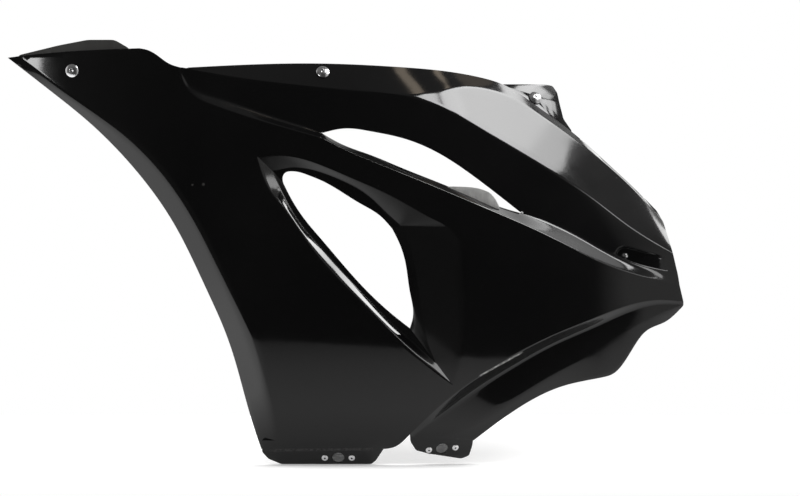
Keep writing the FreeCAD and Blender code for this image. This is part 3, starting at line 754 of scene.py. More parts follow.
def upper_sheets():
    """The ledge, arm, shoulder and top with the rear pocket; returns the meshes and the flank's border."""
    stretches = upper_sections()
    made = [grid_of(stretches[0][1], "front_arm")]
    made.append(grid_of([s[0] for s in stretches[1][1]], "window_ledge"))
    made.append(grid_of([s[1] for s in stretches[1][1]], "middle_arm"))
    rear = stretches[2][1]
    low = UPPER_PARTS[0] + ROUND_STEPS + UPPER_PARTS[1] + ROUND_STEPS
    high = low + UPPER_PARTS[2]
    made.append(grid_of([s[:low + 1] for s in rear], "rear_ledge"))
    made.append(grid_of([s[high:] for s in rear], "rear_shoulder"))
    depth = between_rows([s[low] for s in rear], [s[high] for s in rear])
    border = [s[low] for s in rear] + rear[-1][low + 1:high] + [s[high] for s in reversed(rear)]
    border += list(reversed(rear[0][low + 1:high]))
    hole = pocket_loop()
    rim, foot, inner = grown(hole, 2.0), grown(hole, -1.2), grown(hole, -4.0)
    made.append(sheet_of([(p.x / MM, p.z / MM) for p in border], [rim], 4.5, depth, "rear_arm"))
    x, z = POCKET_CENTRE
    floor = form(x, z) + POCKET_INSET

    def bed(a, b):
        """Depth of the pocket's floor, which runs out into the arm at the rear."""
        flat = floor + POCKET_SLOPE * (a - x)
        return flat + (depth(a, b) + 0.06 - flat) * ease((a - POCKET_RUN_OUT) / POCKET_RUN)

    rows = []
    for section in zip(*(loop + loop[:1] for loop in (rim, hole, foot, inner))):
        corners = [Vector((a, lie(a, b), b)) * MM for (a, b), lie in zip(section, (depth, depth, bed, bed))]
        rows.append(rounded(corners, [(0.002, 0.002), (0.0022, 0.0022)], [1, 3, 1], 4))
    made.append(grid_of(rows, "pocket_wall"))
    ring = [(row[-1].x / MM, row[-1].z / MM) for row in rows[:-1]]
    made.append(sheet_of(ring, [], 4.0, bed, "pocket_floor"))
    return made, [stretch[0] for stretch in stretches]


def lower_sheets():
    """The step and the blade under the flank; returns the mesh and the flank's border."""
    p = bpy.context.scene.fairing_panel
    count, soft = 96, 1.6
    fractions = [i / count for i in range(count + 1)]
    crest = Line(UNDER_CREST)
    edge = crest.cut(crest.start, crest.end, fractions)
    first = beside(edge, lambda a, b: soft * ease(a / 14) * ease(b / 20), 1)
    lines = []
    for points in (STEP_LOW, STRIP_MIDDLE, STRIP_LOW):
        line = Line(points)
        lines.append([place(q) for q in line.cut(line.start, line.end, fractions)])
    sections = []
    for i in range(len(edge)):
        corners = [place(first[i]), place(edge[i])] + [line[i] for line in lines]
        bend = [(reach, reach) for reach in (soft * MM, p.valley_round, p.strip_round)]
        sections.append(rounded(corners, bend, [1, 4, 7, 7], 6))
    return grid_of(sections, "blade"), first


def arch_sheet():
    """The roll along the wheel arch, narrower near the nose; returns its sections and the flank's border."""
    p = bpy.context.scene.fairing_panel
    count = 150
    crest, edge = Line(ARCH_CREST).even(count), Line(ARCH_EDGE).even(count)
    for i, (a, b) in enumerate(zip(crest, edge)):
        near = NARROWED * ease(i / NARROW_START) * (1 - ease(i / count / NARROW_END))
        crest[i] = (a[0] + (b[0] - a[0]) * near, a[1] + (b[1] - a[1]) * near)
    roll = p.arch_round / MM
    first = beside(crest, lambda a, b: roll * ease(a / 120), 1, end=(1, 0), blend=160)
    sections = []
    for i in range(count + 1):
        corners = [place(first[i]), place(crest[i]), place(edge[i])]
        soft = ARCH_SOFT + ARCH_SOFTER * (1 - ease(i / count / SOFTER_END))
        sections.append(rounded(corners, [(1.0, soft)], [1, 4], 8))
    return sections, first


def vent_sheets():
    """The walls round the lower window; returns the meshes and the flank's border as one loop."""
    p = bpy.context.scene.fairing_panel
    soft, back, lip = p.vent_round / MM, p.vent_back_round / MM, p.lip_round / MM
    tip, shoulder, toe = (-0.86, 0.5), (0.82, 0.57), (0.5, -0.86)
    top, rear, front = Line(VENT_TOP).even(110), Line(VENT_REAR).even(70), Line(VENT_FRONT).even(220)
    half = back * 0.5

    def size_top(a, b):
        return lip + (soft - lip) * ease(a / 40) + (half - soft) * ease(1 - b / 50)

    def size_rear(a, b):
        return half + (back - half) * ease(a / 60) * ease(b / 60) + (lip - half) * ease(1 - b / 45)

    def size_front(a, b):
        return lip

    top_out = beside(top, size_top, 1, start=tip, end=shoulder)
    rear_out = beside(rear, size_rear, 1, start=shoulder, end=toe)
    front_out = beside(front, size_front, -1, start=tip, end=toe)
    made = []
    for name, outs, mids, fold, rim in (("vent_top", top_out, top, FOLD_TOP, WINDOW_TOP),
                                        ("vent_back", rear_out, rear, FOLD_REAR, WINDOW_BACK),
                                        ("vent_lip", front_out, front, FOLD_FRONT, WINDOW_LIP)):
        rows = []
        shares = facing(fold, mids)
        folds, rims = along_line(fold, shares), along_line(rim, shares)
        for section in zip(outs, mids, folds, rims):
            corners = [place(q) for q in section]
            reach = (corners[1] - corners[0]).length
            rows.append(rounded(corners, [(1.0, reach), (0.002, 0.002)], [1, 4, 5], 7))
        made.append(grid_of(rows, name))
    loop = top_out[:-1] + rear_out[:-1] + list(reversed(front_out))[:-1]
    return made, loop


def flank_sheet(upper, under, arch, vent):
    """The large flank inside its borders."""
    p = bpy.context.scene.fairing_panel
    loop = Line(NOSE_TOP).even(38)[:-1] + Line(NOSE_STEP).even(16)[:-1]
    for part in upper:
        loop += part[:-1]
    loop += Line(REAR_END).even(6)[:-1]
    loop += list(reversed(under))[:-1]
    foot = [q for q in reversed(Line(FOOT_LINE).even(50)) if q[0] > arch[-1][0] + 2]
    loop += foot + list(reversed(arch))[:-1]
    return sheet_of(loop, [vent], p.mesh_step / MM, form, "flank")


def tab_plate(points, slope, seat, name):
    """A flat tab: an outline with rounded corners, drawn out by the laminate's thickness."""
    p = bpy.context.scene.fairing_panel
    base = form(seat[0], seat[1]) + seat[2]
    bpy.ops.object.select_all(action="DESELECT")
    bpy.ops.mesh.primitive_circle_add(vertices=len(points), radius=0.05, fill_type="NGON", location=(0, 0, 0))
    obj = bpy.context.object
    obj.name = name
    for vertex, (x, z) in zip(obj.data.vertices, points):
        vertex.co = Vector((x, base + slope[0] * (x - seat[0]) + slope[1] * (z - seat[1]), z)) * MM
    obj.data.update()
    out = Vector((slope[0], -1, slope[1])).normalized()
    bpy.ops.object.mode_set(mode="EDIT")
    bpy.ops.mesh.select_all(action="SELECT")
    bpy.ops.mesh.bevel(offset=p.tab_corner * CORNER_BEVEL, offset_type="OFFSET", segments=5,
                       affect="VERTICES")
    bpy.ops.mesh.select_all(action="SELECT")
    bpy.ops.mesh.extrude_region_move(TRANSFORM_OT_translate={"value": -out * p.wall})
    bpy.ops.mesh.select_all(action="SELECT")
    bpy.ops.mesh.normals_make_consistent(inside=False)
    bpy.ops.object.mode_set(mode="OBJECT")
    return obj


def softened(points, radius, steps=5):
    """A closed outline in the side view with rounded corners and short straights."""
    made = []
    n = len(points)
    for i in range(n):
        a, b, c = Vector(points[i - 1]), Vector(points[i]), Vector(points[(i + 1) % n])
        reach = min(radius, MOST_ROUND * (a - b).length, MOST_ROUND * (c - b).length)
        start, end = b + (a - b).normalized() * reach, b + (c - b).normalized() * reach
        for k in range(steps + 1):
            t = k / steps
            q = start * (1 - t) ** 2 + b * 2 * t * (1 - t) + end * t * t
            made.append((q.x, q.y))
        following = Vector(points[(i + 2) % n])
        reach = min(radius, MOST_ROUND * (b - c).length, MOST_ROUND * (following - c).length)
        ahead = c + (b - c).normalized() * reach
        parts = max(1, int((ahead - end).length / 5))
        for k in range(1, parts):
            q = end.lerp(ahead, k / parts)
            made.append((q.x, q.y))
    return made


def layer_sheet(points, inset, name):
    """A flange that follows the form inside an outline."""
    return sheet_of(softened(points, 5.0), [], 6.0, lambda x, z: form(x, z) + inset, name)


def stand(obj, seat):
    """Turn a mesh drawn along Z so that Z points out of a seat, and move it there."""
    point, out = seat
    out = out.normalized()
    across = out.cross(Vector((1, 0, 0))).normalized()
    side = across.cross(out)
    turn = Matrix((side, across, out)).transposed().to_4x4()
    obj.data.transform(Matrix.Translation(point) @ turn)
    obj.data.update()
    return obj


def rod_cutter(radius, low, high, shift=0.0, sides=48):
    """A round or many-sided cutter along Z."""
    bpy.ops.object.select_all(action="DESELECT")
    middle = (shift, 0, (low + high) / 2)
    bpy.ops.mesh.primitive_cylinder_add(vertices=sides, radius=radius, depth=high - low, location=middle)
    bpy.ops.object.transform_apply(location=True, rotation=True, scale=True)
    return bpy.context.object


def drill(radius, low, high, seat, shift=0.0):
    """A round cutter along a seat's direction."""
    return stand(rod_cutter(radius, low, high, shift), seat)


def cut_away(obj, cutters):
    """Take the cutters out of a piece."""
    cutter = joined(cutters, "cutter")
    apply_modifier(obj, "BOOLEAN", object=cutter, operation="DIFFERENCE", solver="EXACT")
    remove_object(cutter)


def turned(profile, name, vertices=64):
    """A turned piece: a disc drawn up through radii and heights in metres."""
    bpy.ops.object.select_all(action="DESELECT")
    radius, height = profile[0]
    bpy.ops.mesh.primitive_circle_add(vertices=vertices, radius=radius, fill_type="NGON",
                                      location=(0, 0, height))
    obj = bpy.context.object
    obj.name = name
    bpy.ops.object.transform_apply(location=True, rotation=True, scale=True)
    bpy.ops.object.mode_set(mode="EDIT")
    bpy.ops.mesh.select_all(action="SELECT")
    for next_radius, next_height in profile[1:]:
        bpy.ops.mesh.extrude_region_move(TRANSFORM_OT_translate={"value": (0, 0, next_height - height)})
        ratio = next_radius / radius
        bpy.ops.transform.resize(value=(ratio, ratio, 1), center_override=(0, 0, next_height))
        radius, height = next_radius, next_height
    bpy.ops.mesh.select_all(action="SELECT")
    bpy.ops.mesh.remove_doubles(threshold=0.000001)
    bpy.ops.mesh.normals_make_consistent(inside=False)
    bpy.ops.object.mode_set(mode="OBJECT")
    return obj


def domed(radius, rim, rise, low, steps=7):
    """Radii and heights of a domed head."""
    height = rise - rim
    ball = (radius * radius + height * height) / (2 * height)
    reach = math.asin(min(1.0, radius / ball))
    made = [(radius * 0.93, low), (radius, low + rim * 0.4), (radius, low + rim)]
    for i in range(1, steps + 1):
        a = reach * (1 - i / steps)
        made.append((max(ball * math.sin(a), radius * 0.05), low + rise - ball + ball * math.cos(a)))
    return made


def hex_cutter(width, low, high):
    """A hexagonal cutter along Z, as wide across its flats as a key."""
    return rod_cutter(width / math.sqrt(3), low, high, sides=6)


def bar_cutter(width, length, low, high):
    """A square-edged cutter along Z."""
    bpy.ops.object.select_all(action="DESELECT")
    bpy.ops.mesh.primitive_cube_add(size=1.0, location=(0, 0, (low + high) / 2),
                                    scale=(width, length, high - low))
    bpy.ops.object.transform_apply(location=True, rotation=True, scale=True)
    return bpy.context.object


def copy_of(obj, name):
    """A copy with its own mesh."""
    twin = obj.copy()
    twin.data = obj.data.copy()
    twin.name = name
    bpy.context.scene.collection.objects.link(twin)
    return twin


def finish_edges(obj, width, angle=30):
    """Break the sharp edges and shade the rest smooth."""
    apply_modifier(obj, "BEVEL", width=width, segments=2, limit_method="ANGLE",
                   angle_limit=math.radians(angle))
    select_only(obj)
    bpy.ops.object.shade_smooth_by_angle(angle=SMOOTH_ANGLE)


def dress(obj, *materials):
    """Give an object these materials and no others."""
    obj.data.materials.clear()
    for material in materials:
        obj.data.materials.append(material)


class Nodes:
    """Short way to build the nodes of a material or a world."""

    def __init__(self, owner):
        owner.use_nodes = True
        self.tree = owner.node_tree
        self.tree.nodes.clear()
        self.coords = self.add("ShaderNodeTexCoord")

    def add(self, kind, **settings):
        node = self.tree.nodes.new(kind)
        for key, value in settings.items():
            setattr(node, key, value)
        return node

    def join(self, value, node, socket):
        """Link a node's first output, or the one named beside it, to a socket, or set a constant there."""
        if isinstance(value, bpy.types.Node):
            value = (value, 0)
        if isinstance(value, tuple) and isinstance(value[0], bpy.types.Node):
            self.tree.links.new(value[0].outputs[value[1]], node.inputs[socket])
        else:
            node.inputs[socket].default_value = value

    def made(self, kind, sockets, **settings):
        """A node with its sockets joined."""
        node = self.add(kind, **settings)
        for socket, value in sockets.items():
            self.join(value, node, socket)
        return node

    def split(self, output="Object"):
        """The three parts of the coordinates."""
        return self.made("ShaderNodeSeparateXYZ", {0: (self.coords, output)})

    def stretched(self, scale, turn=(0, 0, 0)):
        place_in = (self.coords, "Object")
        return self.made("ShaderNodeMapping", {"Scale": scale, "Rotation": turn, "Vector": place_in})

    def noise(self, scale, detail=2.0, rough=0.5, source=None):
        place_in = source or (self.coords, "Object")
        sockets = {"Scale": scale, "Detail": detail, "Roughness": rough, "Vector": place_in}
        return self.made("ShaderNodeTexNoise", sockets)

    def cells(self, scale, feature="F1", source=None):
        place_in = source or (self.coords, "Object")
        return self.made("ShaderNodeTexVoronoi", {"Scale": scale, "Vector": place_in}, feature=feature)

    def remap(self, source, low, high, to_low, to_high):
        sockets = {"From Min": low, "From Max": high, "To Min": to_low, "To Max": to_high, "Value": source}
        return self.made("ShaderNodeMapRange", sockets)

    def math(self, operation, *values):
        return self.made("ShaderNodeMath", dict(enumerate(values)), operation=operation)

    def blend(self, factor, low, high):
        """A value between two others."""
        return self.made("ShaderNodeMix", {"Factor": factor, "A": low, "B": high})

    def mix(self, factor, low, high):
        """A colour between two others."""
        return self.made("ShaderNodeMix", {0: factor, 6: low, 7: high}, data_type="RGBA"), 2

    def bump(self, height, strength, distance, under=None):
        sockets = {"Strength": strength, "Distance": distance, "Height": height}
        if under:
            sockets["Normal"] = under
        return self.made("ShaderNodeBump", sockets)


class Finish(Nodes):
    """Nodes of a material with one shader."""

    def __init__(self, name):
        self.material = bpy.data.materials.new(name)
        super().__init__(self.material)
        self.shader = self.add("ShaderNodeBsdfPrincipled")
        self.made("ShaderNodeOutputMaterial", {"Surface": self.shader})

    def done(self, sockets):
        """The material, with the shader's sockets joined."""
        for socket, value in sockets.items():
            self.join(value, self.shader, socket)
        return self.material


def shade(colour, factor):
    """A colour made lighter or darker."""
    return (colour[0] * factor, colour[1] * factor, colour[2] * factor, 1.0)


def painted_edge_highlights(n):
    """Painted highlights: pale lines painted along edges that catch the light, broken up by noise."""
    split = n.split()
    broken = n.remap(n.noise(170, 3.0, 0.7), 0.4, 0.6, 0.25, 1.0)
    edge_highlight = None
    for start, end, width, strength in PAINTED_EDGE_HIGHLIGHTS:
        a, b = Vector(start) * MM, Vector(end) * MM
        run = (b - a).normalized()
        along = n.math("ADD", n.math("MULTIPLY", (split, "X"), run.x),
                       n.math("MULTIPLY", (split, "Z"), run.y))
        across = n.math("SUBTRACT", n.math("MULTIPLY", (split, "X"), run.y),
                        n.math("MULTIPLY", (split, "Z"), run.x))
        off_line = n.math("ABSOLUTE", n.math("SUBTRACT", across, a.x * run.y - a.y * run.x))
        middle, half = (a + b).dot(run) / 2, (b - a).length / 2
        off_middle = n.math("ABSOLUTE", n.math("SUBTRACT", along, middle))
        line = n.math("MULTIPLY", n.remap(off_line, width * 0.4, width, strength, 0.0),
                      n.remap(off_middle, half * 0.8, half, 1.0, 0.0))
        edge_highlight = n.math("MAXIMUM", edge_highlight, line) if edge_highlight else line
    return n.math("MULTIPLY", edge_highlight, broken)


def gelcoat_material():
    """Polished black gelcoat: mould ripple, dust specks, chips, fine scuffs, painted edge highlights and
    uneven gloss.
    """
    f = bpy.context.scene.fairing_finish
    n = Finish("gloss_black_gelcoat")
    speck = n.math("MULTIPLY", n.remap(n.cells(420), 0.03, 0.09, 1.0, 0.0),
                   n.remap(n.noise(60, 1.0), 0.6, 0.66, 0.0, 1.0))
    for x, z, size in CHIPS:
        sockets = {0: (n.coords, "Object"), 1: place((x, z))}
        gap = n.made("ShaderNodeVectorMath", sockets, operation="DISTANCE")
        speck = n.math("MAXIMUM", speck, n.remap((gap, "Value"), size * 0.4, size, 0.9, 0.0))
    scuff_field = n.cells(38, "DISTANCE_TO_EDGE", n.stretched((1.0, 1.0, 0.16), (0.0, 0.7, 0.0)))
    scuff = n.math("MULTIPLY", n.remap((scuff_field, "Distance"), 0.0, 0.006, 1.0, 0.0),
                   n.remap(n.noise(9, 2.0), 0.64, 0.74, 0.0, 0.3))
    film = n.remap(n.noise(6, 3.0, 0.6), 0.35, 0.75, 0.0, 0.02)
    marks = n.math("MAXIMUM", n.math("MULTIPLY", scuff, 0.25), film)
    dirt = n.math("MAXIMUM", n.math("MULTIPLY", speck, 0.55), marks)
    dusty = n.mix(dirt, tuple(f.gelcoat), tuple(f.dust))
    uneven = n.remap(n.noise(18, 4.0, 0.6), 0.3, 0.7, f.gelcoat_rough, f.gelcoat_rough + 0.05)
    ripple = n.bump(n.noise(16, 2.0, 0.4), 0.12, 0.0012)
    peel = n.bump(n.noise(300, 1.0), 0.05, 0.0001, ripple)
    return n.done({
        # painted highlights along two edges, laid over the dusty gelcoat
        "Base Color": n.mix(painted_edge_highlights(n), dusty, tuple(f.edge_highlight)),
        "Roughness": n.math("ADD", uneven, n.math("MULTIPLY", dirt, 0.45)),
        "IOR": 1.5,
        "Normal": n.bump(speck, 0.3, 0.0002, peel),
    })


def laminate_material():
    """Bare inside of the laminate: black resin over chopped glass strands."""
    f = bpy.context.scene.fairing_finish
    n = Finish("bare_laminate")
    strands = n.noise(90, 5.0, 0.65, n.stretched((1.0, 1.0, 0.25), (0.0, 0.5, 0.0)))
    cross = n.noise(90, 5.0, 0.65, n.stretched((0.25, 1.0, 1.0), (0.0, 0.3, 0.0)))
    fibre = n.math("MAXIMUM", strands, cross)
    tone = n.remap(fibre, 0.45, 0.75, 0.0, 1.0)
    return n.done({
        "Base Color": n.mix(tone, shade(f.laminate, 0.5), shade(f.laminate, 2.2)),
        "Roughness": n.remap(fibre, 0.4, 0.8, 0.38, 0.72),
        "Normal": n.bump(fibre, 0.6, 0.0006),
    })


def flange_material(name, colour):
    """Sanded face of a bonding flange: keying scratches and dusty mottling."""
    n = Finish(name)
    keyed = n.noise(260, 3.0, 0.6, n.stretched((1.0, 1.0, 0.2), (0.0, 0.9, 0.0)))
    mottle = n.noise(45, 4.0, 0.6)
    tone = n.math("MULTIPLY", n.remap(keyed, 0.3, 0.7, 0.6, 1.0), n.remap(mottle, 0.3, 0.7, 0.7, 1.0))
    return n.done({
        "Base Color": n.mix(tone, shade(colour, 0.6), shade(colour, 1.4)),
        "Roughness": n.remap(keyed, 0.3, 0.7, 0.38, 0.58),
        "Normal": n.bump(keyed, 0.25, 0.0002),
    })


def metal_material(name, colour, low, high, grain, tarnish, metallic=1.0):
    """Worked metal, from its lowest to its highest roughness: fine grain and tarnish patches."""
    n = Finish(name)
    lines = n.noise(grain, 3.0, 0.6, n.stretched((1.0, 0.3, 1.0)))
    dull = n.remap(n.noise(240, 4.0, 0.6), 0.35, 0.75, 0.0, tarnish)
    return n.done({
        "Base Color": n.mix(dull, tuple(colour), shade(colour, 0.35)),
        "Metallic": metallic,
        "Roughness": n.remap(lines, 0.3, 0.7, low, high),
        "Normal": n.bump(lines, 0.15, 0.00005),
    })


def washer_material():
    """Moulded black nylon."""
    n = Finish("black_nylon")
    grain = n.noise(900, 3.0)
    tone = n.remap(grain, 0.3, 0.7, 0.0, 1.0)
    return n.done({
        "Base Color": n.mix(tone, (0.018, 0.018, 0.019, 1), (0.035, 0.035, 0.036, 1)),
        "Roughness": n.remap(grain, 0.3, 0.7, 0.45, 0.6),
        "Normal": n.bump(grain, 0.2, 0.00005),
    })


class FAIRING_OT_moulding(bpy.types.Operator):
    """Model the panel's moulding over its feature lines, with its tabs, ears and rear pocket"""

    bl_idname = "fairing.moulding"
    bl_label = "Panel moulding"

    def execute(self, context):
        p = context.scene.fairing_panel
        upper, upper_border = upper_sheets()
        blade, under_border = lower_sheets()
        arch_rows, arch_border = arch_sheet()
        vent, vent_border = vent_sheets()
        flank = flank_sheet(upper_border, under_border, arch_border, vent_border)
        arch = grid_of(arch_rows, "arch_roll")
        skin = joined([flank, blade, arch] + upper + vent, "panel_moulding")
        nose = layer_sheet(NOSE_FLANGE, JOGGLE, "nose_flange")
        ear = layer_sheet(WINDOW_EAR, WINDOW_EAR_INSET, "window_ear")
        f = context.scene.fairing_finish
        bare = laminate_material()
        gloss = gelcoat_material()
        faces = {skin: gloss, nose: flange_material("satin_flange", f.flange),
                 ear: flange_material("keyed_flange", f.keyed)}
        for obj, face in faces.items():
            dress(obj, face, bare)
            walled(obj, (0, p.wall, 0))
        tabs = [
            tab_plate(FRONT_TAB, *FRONT_TAB_LIE, "front_tab"),
            tab_plate(REAR_TAB, *REAR_TAB_LIE, "rear_tab"),
            tab_plate(REAR_EAR, *REAR_EAR_LIE, "rear_ear"),
        ]
        plates = joined(tabs, "plates")
        dress(plates, gloss, bare)
        for face in plates.data.polygons:
            if face.normal.y > 0.5:
                face.material_index = 1
        studs = {name: drill(STUD_HOLE, -HOLE_REACH, HOLE_REACH, seat) for name, seat in STUD_SEATS.items()}
        cut_away(skin, [studs["front"], studs["top"], drill(SCREW_HOLE, -HOLE_REACH, 0.003, SCREW_SEAT)])
        holes = [studs["rear"]]
        half_pitch = context.scene.fairing_fasteners.rivet_pitch / 2
        for seat in TAB_SEATS.values():
            holes.append(drill(TAB_HOLE, -TAB_HOLE_REACH, TAB_HOLE_REACH, seat))
            for shift in (-half_pitch, half_pitch):
                holes.append(drill(RIVET_HOLE, -TAB_HOLE_REACH, TAB_HOLE_REACH, seat, shift))
        cut_away(plates, holes)
        panel = joined([skin, nose, ear, plates], "panel_moulding")
        finish_edges(panel, p.edge_bevel, 55)
        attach(panel, "panel")
        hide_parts("side_panel")
        return {"FINISHED"}


class FAIRING_OT_studs(bpy.types.Operator):
    """Model the captive quarter-turn studs"""

    bl_idname = "fairing.studs"
    bl_label = "Quarter-turn studs"

    def execute(self, context):
        s = context.scene.fairing_fasteners
        steel = metal_material("bright_stud_steel", context.scene.fairing_finish.steel, 0.16, 0.3, 900, 0.25)
        low, rim, chamfer, clear = 0.00025, 0.0012, 0.0008, 0.002
        neck, neck_start, neck_end = 0.004, -0.0045, -0.0044
        socket, socket_depth, slot, slot_depth = 0.005, 0.0028, 0.0018, 0.0045
        top, tip = low + s.stud_rise, -s.stud_length
        profile = [(s.stud_shank - chamfer, tip), (s.stud_shank, tip + chamfer), (s.stud_shank, neck_start),
                   (neck, neck_end), (neck, low)]
        master = turned(profile + domed(s.stud_head, rim, s.stud_rise, low), "stud_master")
        cut_away(master, [hex_cutter(socket, top - socket_depth, top + clear),
                          bar_cutter(slot, s.stud_length, tip - clear, tip + slot_depth)])
        finish_edges(master, 0.00015)
        dress(master, steel)
        for name, seat in STUD_SEATS.items():
            stud = stand(copy_of(master, "quarter_turn_stud_" + name), seat)
            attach(stud, name + "_fastener")
            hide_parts("stud_" + name)
        remove_object(master)
        return {"FINISHED"}


class FAIRING_OT_rivets(bpy.types.Operator):
    """Model the blind rivets of the tab receptacles"""

    bl_idname = "fairing.rivets"
    bl_label = "Tab rivets"

    def execute(self, context):
        s = context.scene.fairing_fasteners
        bare = context.scene.fairing_finish.aluminium
        metal = metal_material("rivet_aluminium_bare", bare, 0.22, 0.4, 1400, 0.1)
        # painted shade: the rivet's bore takes the aluminium colour darkened to three per cent
        painted_bore_shade = metal_material("rivet_bore_painted_shade", shade(bare, 0.03), 0.5, 0.7, 1400, 0.3)
        face, plate, rim, clear = 0.0015, 0.0012, 0.0004, 0.004
        body, tail, tail_length, tail_chamfer, bore_end = 0.002, 0.003, 0.0022, 0.0004, 0.0014
        back = -face - plate
        end = back - tail_length
        profile = [(tail - tail_chamfer, end), (tail, end + tail_chamfer), (tail, back), (body, back),
                   (body, face)]
        master = turned(profile + domed(s.rivet_head, rim, s.rivet_rise, face, 6), "rivet_master", 40)
        cut_away(master, [rod_cutter(s.rivet_bore, back - bore_end, face + clear)])
        finish_edges(master, 0.00012)
        dress(master, metal, painted_bore_shade)
        # faces in the bore take the painted shade
        for side in master.data.polygons:
            side.material_index = int(side.center.xy.length < s.rivet_bore + 0.00002)
        rivets = []
        for seat in TAB_SEATS.values():
            for shift in (-0.5, 0.5):
                rivet = copy_of(master, "rivet")
                rivet.data.transform(Matrix.Translation((shift * s.rivet_pitch, 0, 0)))
                rivets.append(stand(rivet, seat))
        remove_object(master)
        group = joined(rivets, "tab_rivet_set")
        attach(group, "panel")
        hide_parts("tab_rivets")
        return {"FINISHED"}


class FAIRING_OT_pocket_screw(bpy.types.Operator):
    """Model the button-head screw in the rear pocket"""

    bl_idname = "fairing.pocket_screw"
    bl_label = "Pocket screw"

    def execute(self, context):
        s = context.scene.fairing_fasteners
        metal = metal_material("bright_screw_steel", context.scene.fairing_finish.steel, 0.14, 0.28,
                               1200, 0.2)
        shank, length, chamfer, rim = 0.0025, 0.018, 0.0006, 0.0006
        socket, socket_depth, clear = 0.003, 0.0016, 0.002
        profile = [(shank - chamfer, -length), (shank, chamfer - length), (shank, 0.0)]
        screw = turned(profile + domed(s.screw_head, rim, s.screw_rise, 0.0), "button_screw")
        cut_away(screw, [hex_cutter(socket, s.screw_rise - socket_depth, s.screw_rise + clear)])
        finish_edges(screw, 0.00012)
        dress(screw, metal)
        stand(screw, SCREW_SEAT)
        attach(screw, "panel")
        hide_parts("pocket_screw")
        return {"FINISHED"}


class FAIRING_OT_finishes(bpy.types.Operator):
    """Finish the receptacles, springs, keepers and washer of the construction"""

    bl_idname = "fairing.finishes"
    bl_label = "Receptacles and keepers"

    def execute(self, context):
        f = context.scene.fairing_finish
        # painted light: the receptacles take the zinc colour lightened 1.9 times and only partly metallic, so
        # that they read bright down in their shaded holes
        zinc = metal_material("stamped_zinc_painted_light", shade(f.zinc, 1.9), 0.3, 0.5, 700, 0.35, 0.35)
        wire = metal_material("spring_wire", shade(f.zinc, 0.9), 0.2, 0.35, 1600, 0.3)
        keeper = metal_material("keeper_plate", shade(f.zinc, 1.1), 0.25, 0.45, 800, 0.3)
        nylon = washer_material()
        finish = {"receptacle_front": zinc, "receptacle_rear": zinc, "receptacle_springs": wire,
                  "keeper_front": keeper, "keeper_top": keeper, "keeper_rear": keeper,
                  "pocket_washer": nylon}
        for name, material in finish.items():
            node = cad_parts[name]
            dress(node, material)
            select_only(node)
            bpy.ops.object.shade_smooth_by_angle(angle=SMOOTH_ANGLE)
        return {"FINISHED"}


def floor_material():
    """White paper floor with the lamps' shadow and a painted contact shadow: white to the camera, painted
    darker towards its front, and glowing in reflections only, dimmer towards its front and brighter at its
    left.
    """
    f = bpy.context.scene.fairing_finish
    n = Finish("white_paper_floor")
    split = n.split()
    # painted falloff: the floor's colour and its glow in reflections grow darker towards its front
    near = n.remap((split, "Y"), -0.5, -0.1, 0.36, 1.0)
    left = n.remap((split, "X"), -0.22, -0.1, 1.0, 0.0)
    mottled_painted_falloff = n.math("MULTIPLY", n.remap(n.noise(7, 4.0, 0.6), 0.3, 0.7, 0.985, 1.0), near)
    paths = n.add("ShaderNodeLightPath")
    seen = n.math("ADD", (paths, "Is Camera Ray"), (paths, "Is Transmission Ray"))
    # painted shadow: the white seen by the camera is dimmed by ambient occlusion around the panel
    painted_contact_shadow = n.made("ShaderNodeAmbientOcclusion", {"Distance": 0.5})
    white = n.math("MULTIPLY", seen, n.remap((painted_contact_shadow, "AO"), 0.5, 0.92, 0.3, 1.0))
    # painted reflection: the floor glows in reflections only, more strongly at its left
    painted_reflection_glow = n.math("ADD", n.math("MULTIPLY", near, 0.3), n.math("MULTIPLY", left, 0.95))
    return n.done({
        "Base Color": n.mix(mottled_painted_falloff, (0.0, 0.0, 0.0, 1), tuple(f.floor)),
        "Roughness": 0.9,
        "Specular IOR Level": 0.1,
        "Emission Color": (1, 1, 1, 1),
        "Emission Strength": n.math("ADD", white, n.math("MULTIPLY", (paths, "Is Glossy Ray"), painted_reflection_glow)),
    })


